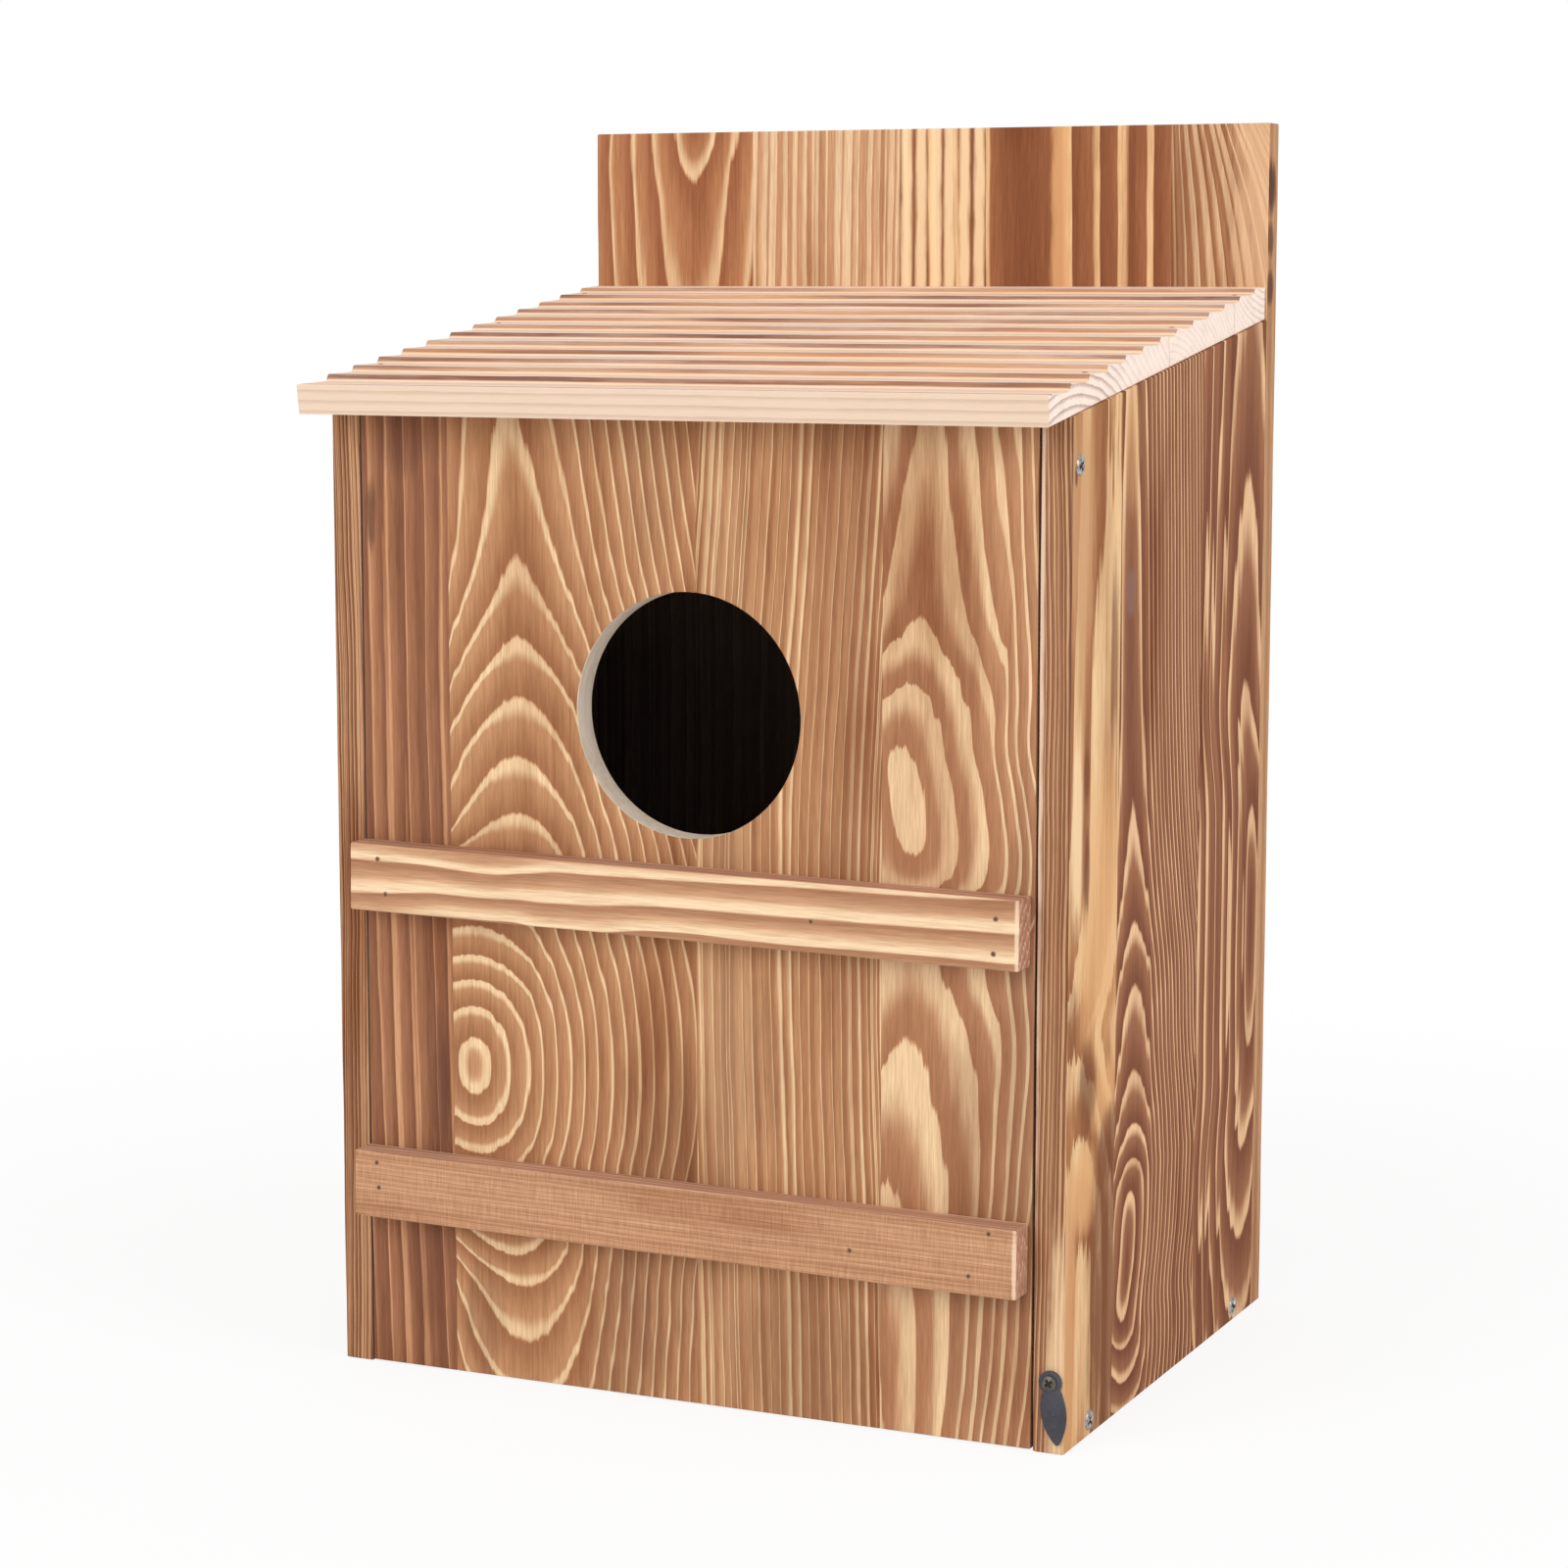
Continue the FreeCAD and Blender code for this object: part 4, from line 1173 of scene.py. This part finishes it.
screw, screw_slots = screw_rings(SCREW_PROUD)
flush_screw, _ = screw_rings(HEAD_ROOM)
OUT_RIGHT = (1, 0, 0)
OUT_LEFT = (-1, 0, 0)
OUT_BACK = (0, 1, 0)
WALL_MIDDLE = RIGHT_X - BOARD / 2
FLOOR_MIDDLE = BOARD / 2
PIVOT = (FRONT_Y + 5.5 * MM, 296.5 * MM)
floor_screws = []
for depth, spin in ((21.7 * MM, 0.5), (162.7 * MM, 1.1)):
    floor_screws.append(aimed(screw, (RIGHT_X, FRONT_Y + depth, FLOOR_MIDDLE), OUT_RIGHT, spin))
    floor_screws.append(aimed(screw, (LEFT_X, FRONT_Y + depth, FLOOR_MIDDLE), OUT_LEFT, spin + 0.3))
pivot_screws = [
    aimed(screw, (RIGHT_X, *PIVOT), OUT_RIGHT, 0.35),
    aimed(screw, (LEFT_X, *PIVOT), OUT_LEFT, 0.9),
]
back_screws = []
for height, spin in ((30 * MM, 0.2), (160 * MM, 0.8), (285 * MM, 1.3)):
    back_screws.append(aimed(flush_screw, (WALL_MIDDLE, REAR_Y - HEAD_ROOM, height), OUT_BACK, spin))
    back_screws.append(aimed(flush_screw, (-WALL_MIDDLE, REAR_Y - HEAD_ROOM, height), OUT_BACK, spin + 0.5))
screws = {"floor_screws": floor_screws, "door_pivot_screws": pivot_screws, "back_screws": back_screws}
for node, stacks in screws.items():
    gathered(node, stacks, [zinc, recess_shade_metal], screw_slots, "carcase")
    print(node, len(stacks))

# %% [markdown]
# A brad is a thin nail with a small, nearly flat head. On the battens the heads show as dark dots, set one by
# one where they show, not in a neat row. On the roof they pin each end to the walls.

# %% Brads
BRAD_HEAD = 1.9 * MM
BRAD_SHANK = 1.3 * MM
BRAD_STEPS = 24
BATTEN_BRAD = 18 * MM
ROOF_BRAD = 25 * MM
upper_brads = ((20.4, 167.7), (23.1, 156.6), (171.2, 158.5), (230.8, 163.6), (230.1, 153.1))
lower_brads = ((18.5, 69.1), (19.1, 61.0), (184.1, 58.4), (229.3, 68.4), (222.9, 54.8))
roof_brad_steps = (2, 7, 11)
BRAD_SLOTS = np.array([[0], [1], [1], [1], [0], [0], [0]])


def brad(length):
    """Rings of a brad: a low dome for the head, then the shank and its point."""
    head = BRAD_HEAD / 2
    shank = BRAD_SHANK / 2
    dome = ((0.05 * head, 0.12 * MM), (0.6 * head, 0.1 * MM), (0.85 * head, 0.05 * MM), (head, -0.05 * MM))
    below = ((head, -0.5 * MM), (shank, -0.5 * MM), (shank, 1.7 * MM - length), (0.01 * MM, -length))
    return revolved(dome + below, BRAD_STEPS)


for node, places in (("upper_batten", upper_brads), ("lower_batten", lower_brads)):
    face = cad[node][0, 1]
    stacks = [aimed(brad(BATTEN_BRAD), (LEFT_X + x * MM, face, z * MM), (0, -1, 0), 0.0) for x, z in places]
    gathered(node + "_brads", stacks, [brad_metal, rust_rim], BRAD_SLOTS, "front_door")

ROOF_NORMAL = (0, -math.sin(SLOPE), math.cos(SLOPE))
stacks = []
for step in roof_brad_steps:
    up_slope = crest[step] + (STEP_PITCH - RISER_RUN) / 2
    place = on_slope(up_slope, top_height(up_slope))
    for x in (-WALL_MIDDLE, WALL_MIDDLE):
        stacks.append(aimed(brad(ROOF_BRAD), (x, *place), ROOF_NORMAL, 0.0))
gathered("roof_brads", stacks, [brad_metal, rust_rim], BRAD_SLOTS, "carcase")
print("brads:", len(upper_brads) + len(lower_brads) + len(stacks))

# %% [markdown]
# The turn button is a small black leaf of pressed steel on a dark cross-head screw. Its half width is the
# larger of a round eye and a leaf, whose edge is the arc through its waist, belly and tip. The front is
# slightly domed and carries two small pips.

# %% Turn button
BUTTON_X = WALL_MIDDLE + 0.8 * MM
BUTTON_Z = 22.3 * MM
BUTTON_TILT = math.radians(7.4)
EYE_RADIUS = 3.6 * MM
LEAF_WAIST = (2.6 * MM, 2.3 * MM)
LEAF_BELLY = (4.0 * MM, 9.8 * MM)
LEAF_TIP = (0.4 * MM, 19.2 * MM)
LEAF_THICK = 1.2 * MM
LEAF_GAP = 0.3 * MM
PIPS = (10.0 * MM, 13.7 * MM)
PIP_HEIGHT = 0.3 * MM
PIP_RADIUS = 0.5 * MM
DOME = 0.25 * MM
TIP_HALF = 0.15 * MM
EYE_STEPS = 40
EYE_ROWS = 28
LEAF_ROWS = 46
LEAF_COLUMNS = 21


def circle_through(first, second, third):
    """Centre and radius of the circle through three points, from the two chords' middle lines."""
    first, second, third = (np.array(point) for point in (first, second, third))
    chords = np.array([second - first, third - first]) * 2
    centre = np.linalg.solve(chords, [second @ second - first @ first, third @ third - first @ first])
    return centre, np.linalg.norm(first - centre)


def turn_button():
    """Sections across the leaf from the top of its eye to its tip, with a domed front and a flat back."""
    turn = np.linspace(0, math.pi, EYE_STEPS)
    eye_down = -EYE_RADIUS * np.cos(turn[:EYE_ROWS])
    down = np.concatenate([eye_down, np.linspace(eye_down[-1], LEAF_TIP[1], LEAF_ROWS)[1:]])
    centre, radius = circle_through(LEAF_WAIST, LEAF_BELLY, LEAF_TIP)
    leaf = centre[0] + np.sqrt(np.maximum(radius**2 - (down - centre[1]) ** 2, 0))
    leaf = np.where(down < LEAF_WAIST[1], 0, leaf)
    eye = np.sqrt(np.maximum(EYE_RADIUS**2 - down**2, 0))
    half = np.maximum(np.maximum(leaf, eye), TIP_HALF)
    share = np.sin(np.linspace(-1, 1, LEAF_COLUMNS) * math.pi / 2)
    x = half[:, None] * share
    dome = DOME * (1 - np.abs(share) ** 6) + 0 * x
    for pip in PIPS:
        away = np.hypot(x, down[:, None] - pip)
        dome = dome + PIP_HEIGHT * np.exp(-((away / PIP_RADIUS) ** 4))
    front = LEAF_GAP + LEAF_THICK - DOME + dome
    x = np.concatenate([x, x[:, ::-1]], axis=1)
    out = np.concatenate([front, np.full_like(front, LEAF_GAP)], axis=1)
    drop = np.broadcast_to(down[:, None], x.shape)
    across = x * math.cos(BUTTON_TILT) + drop * math.sin(BUTTON_TILT)
    fall = drop * math.cos(BUTTON_TILT) - x * math.sin(BUTTON_TILT)
    loops = np.stack([BUTTON_X + across, FRONT_Y - out, BUTTON_Z - fall], axis=-1)
    return join_loops("turn_button_leaf", loops, [black_metal], np.zeros(loops.shape[1], int), True)


stand_in(turn_button(), "turn_button", "turn_button")
SEAT = LEAF_THICK + 2 * LEAF_GAP
PAN = 2.3 * MM
PAN_SHANK = 1.4 * MM
PAN_LENGTH = 14 * MM
PAN_POINT = 3.6 * MM
# Width, span and depth of the cross.
PAN_RECESS = (0.8 * MM, 2.6 * MM, 0.7 * MM)
pan_crown = [
    (share * PAN, SEAT + rise * MM) for share, rise in ((0.0, 0.8), (0.45, 0.75), (0.75, 0.6), (1.0, 0.2))
]
pan_below = ((PAN, SEAT), (PAN_SHANK, SEAT), (PAN_SHANK, PAN_POINT - PAN_LENGTH), (0.02 * MM, -PAN_LENGTH))
pan_screw, pan_slots = turned_piece((pan_crown, pan_below), PAN, *PAN_RECESS)
stack = [aimed(pan_screw, (BUTTON_X, FRONT_Y, BUTTON_Z), (0, -1, 0), 0.6)]
gathered("turn_button_screw", stack, [worn_metal, recess_shade_metal], pan_slots, "carcase")
print("turn button hangs", round(1000 * LEAF_TIP[1], 1), "mm below its screw")

# %% [markdown]
# The stage is a white floor and a white surround. Seen by the camera they are plain white, but for the rest
# of the light they are ordinary: the floor bounces some light and keeps a soft shadow, and the surround is an
# even fill. Two large soft lamps, from the front and the right, give the boards their relief.

# %% Floor, surround and lamps
FILL = 0.6
FLOOR_HALF = 4.0
SHADOW = 0.14
LAMP_TARGET = (0, 0, 0.2)
LAMP_SIZE = 1.6


def seen_directly(wire):
    """1 for rays that show the stage itself: camera, mirror and clear rays."""
    path = wire.node("LightPath", {}, {}, "Is Camera Ray")
    shown = path.math("MAXIMUM", path.beside("Is Glossy Ray"))
    return shown.math("MAXIMUM", path.beside("Is Transmission Ray"))


floor_material, wire, place = new_material("pale_floor")
shown = seen_directly(wire)
away = wire.node("VectorMath", {"operation": "LENGTH"}, {"Vector": place}, "Value")
shadowed = SHADOW - away.step(0.2, 0.7) * SHADOW
matt = wire.node("BsdfDiffuse", {}, {"Color": (0.92, 0.92, 0.92, 1.0)})
white = wire.node("Emission", {}, {"Color": WHITE, "Strength": 1.0})
floor_look = wire.node("MixShader", {}, {"Fac": shown * (1 - shadowed), "Shader": matt, "Shader_001": white})
wire.node("OutputMaterial", {}, {"Surface": floor_look})
corner = np.array([(-1, -1, 0), (1, -1, 0), (1, 1, 0), (-1, 1, 0)]) * FLOOR_HALF
floor_mesh = bpy.data.meshes.new("studio_floor")
floor_mesh.from_pydata(corner.tolist(), [], [(0, 1, 2, 3)])
floor_mesh.materials.append(floor_material)
studio_floor = linked("studio_floor", floor_mesh)

world = bpy.data.worlds.new("white_surround")
bpy.context.scene.world = world
world.use_nodes = True
world.node_tree.nodes.clear()
wire = Wire(world.node_tree)
shown = seen_directly(wire)
fill = wire.node("Background", {}, {"Color": WHITE, "Strength": FILL})
backdrop = wire.node("Background", {}, {"Color": WHITE, "Strength": 1.0})
both = wire.node("MixShader", {}, {"Fac": shown, "Shader": fill, "Shader_001": backdrop})
wire.node("OutputWorld", {}, {"Surface": both})


def soft_lamp(name, place, power):
    """A square soft lamp at a place, turned to look at the box."""
    lamp = bpy.data.lights.new(name, "AREA")
    lamp.shape = "SQUARE"
    lamp.size = LAMP_SIZE
    lamp.energy = power
    holder = linked(name, lamp)
    holder.location = place
    forward = np.array(LAMP_TARGET) - np.array(place)
    flat = math.hypot(forward[0], forward[1])
    holder.rotation_euler = (math.atan2(flat, -forward[2]), 0, math.atan2(-forward[0], forward[1]))


soft_lamp("front_lamp", (-0.6, -2.1, 1.2), 31)
soft_lamp("right_lamp", (2.2, -0.6, 1.2), 26)
print("stage set, fill", FILL)

# %% [markdown]
# The camera stands where the photograph was taken: in front, a little to the right, level with the roof's
# rear edge and looking slightly down. Its place, turn and lens were found by lining up the box's corners with
# the picture.

# %% Camera
LOOK_DOWN = 0.1348
LOOK_LEFT = 0.431
CAMERA_PLACE = (0.50523, -1.11445, 0.35172)
LENS = 86.41
SENSOR = 36.0
camera = bpy.data.cameras.new("picture_camera")
camera.lens = LENS
camera.sensor_width = SENSOR
viewer = linked("picture_camera", camera)
viewer.location = CAMERA_PLACE
viewer.rotation_euler = (math.pi / 2 - LOOK_DOWN, 0.0, LOOK_LEFT)
bpy.context.scene.camera = viewer
bpy.context.scene.view_settings.view_transform = "Standard"
print("camera", [round(value, 3) for value in viewer.location])
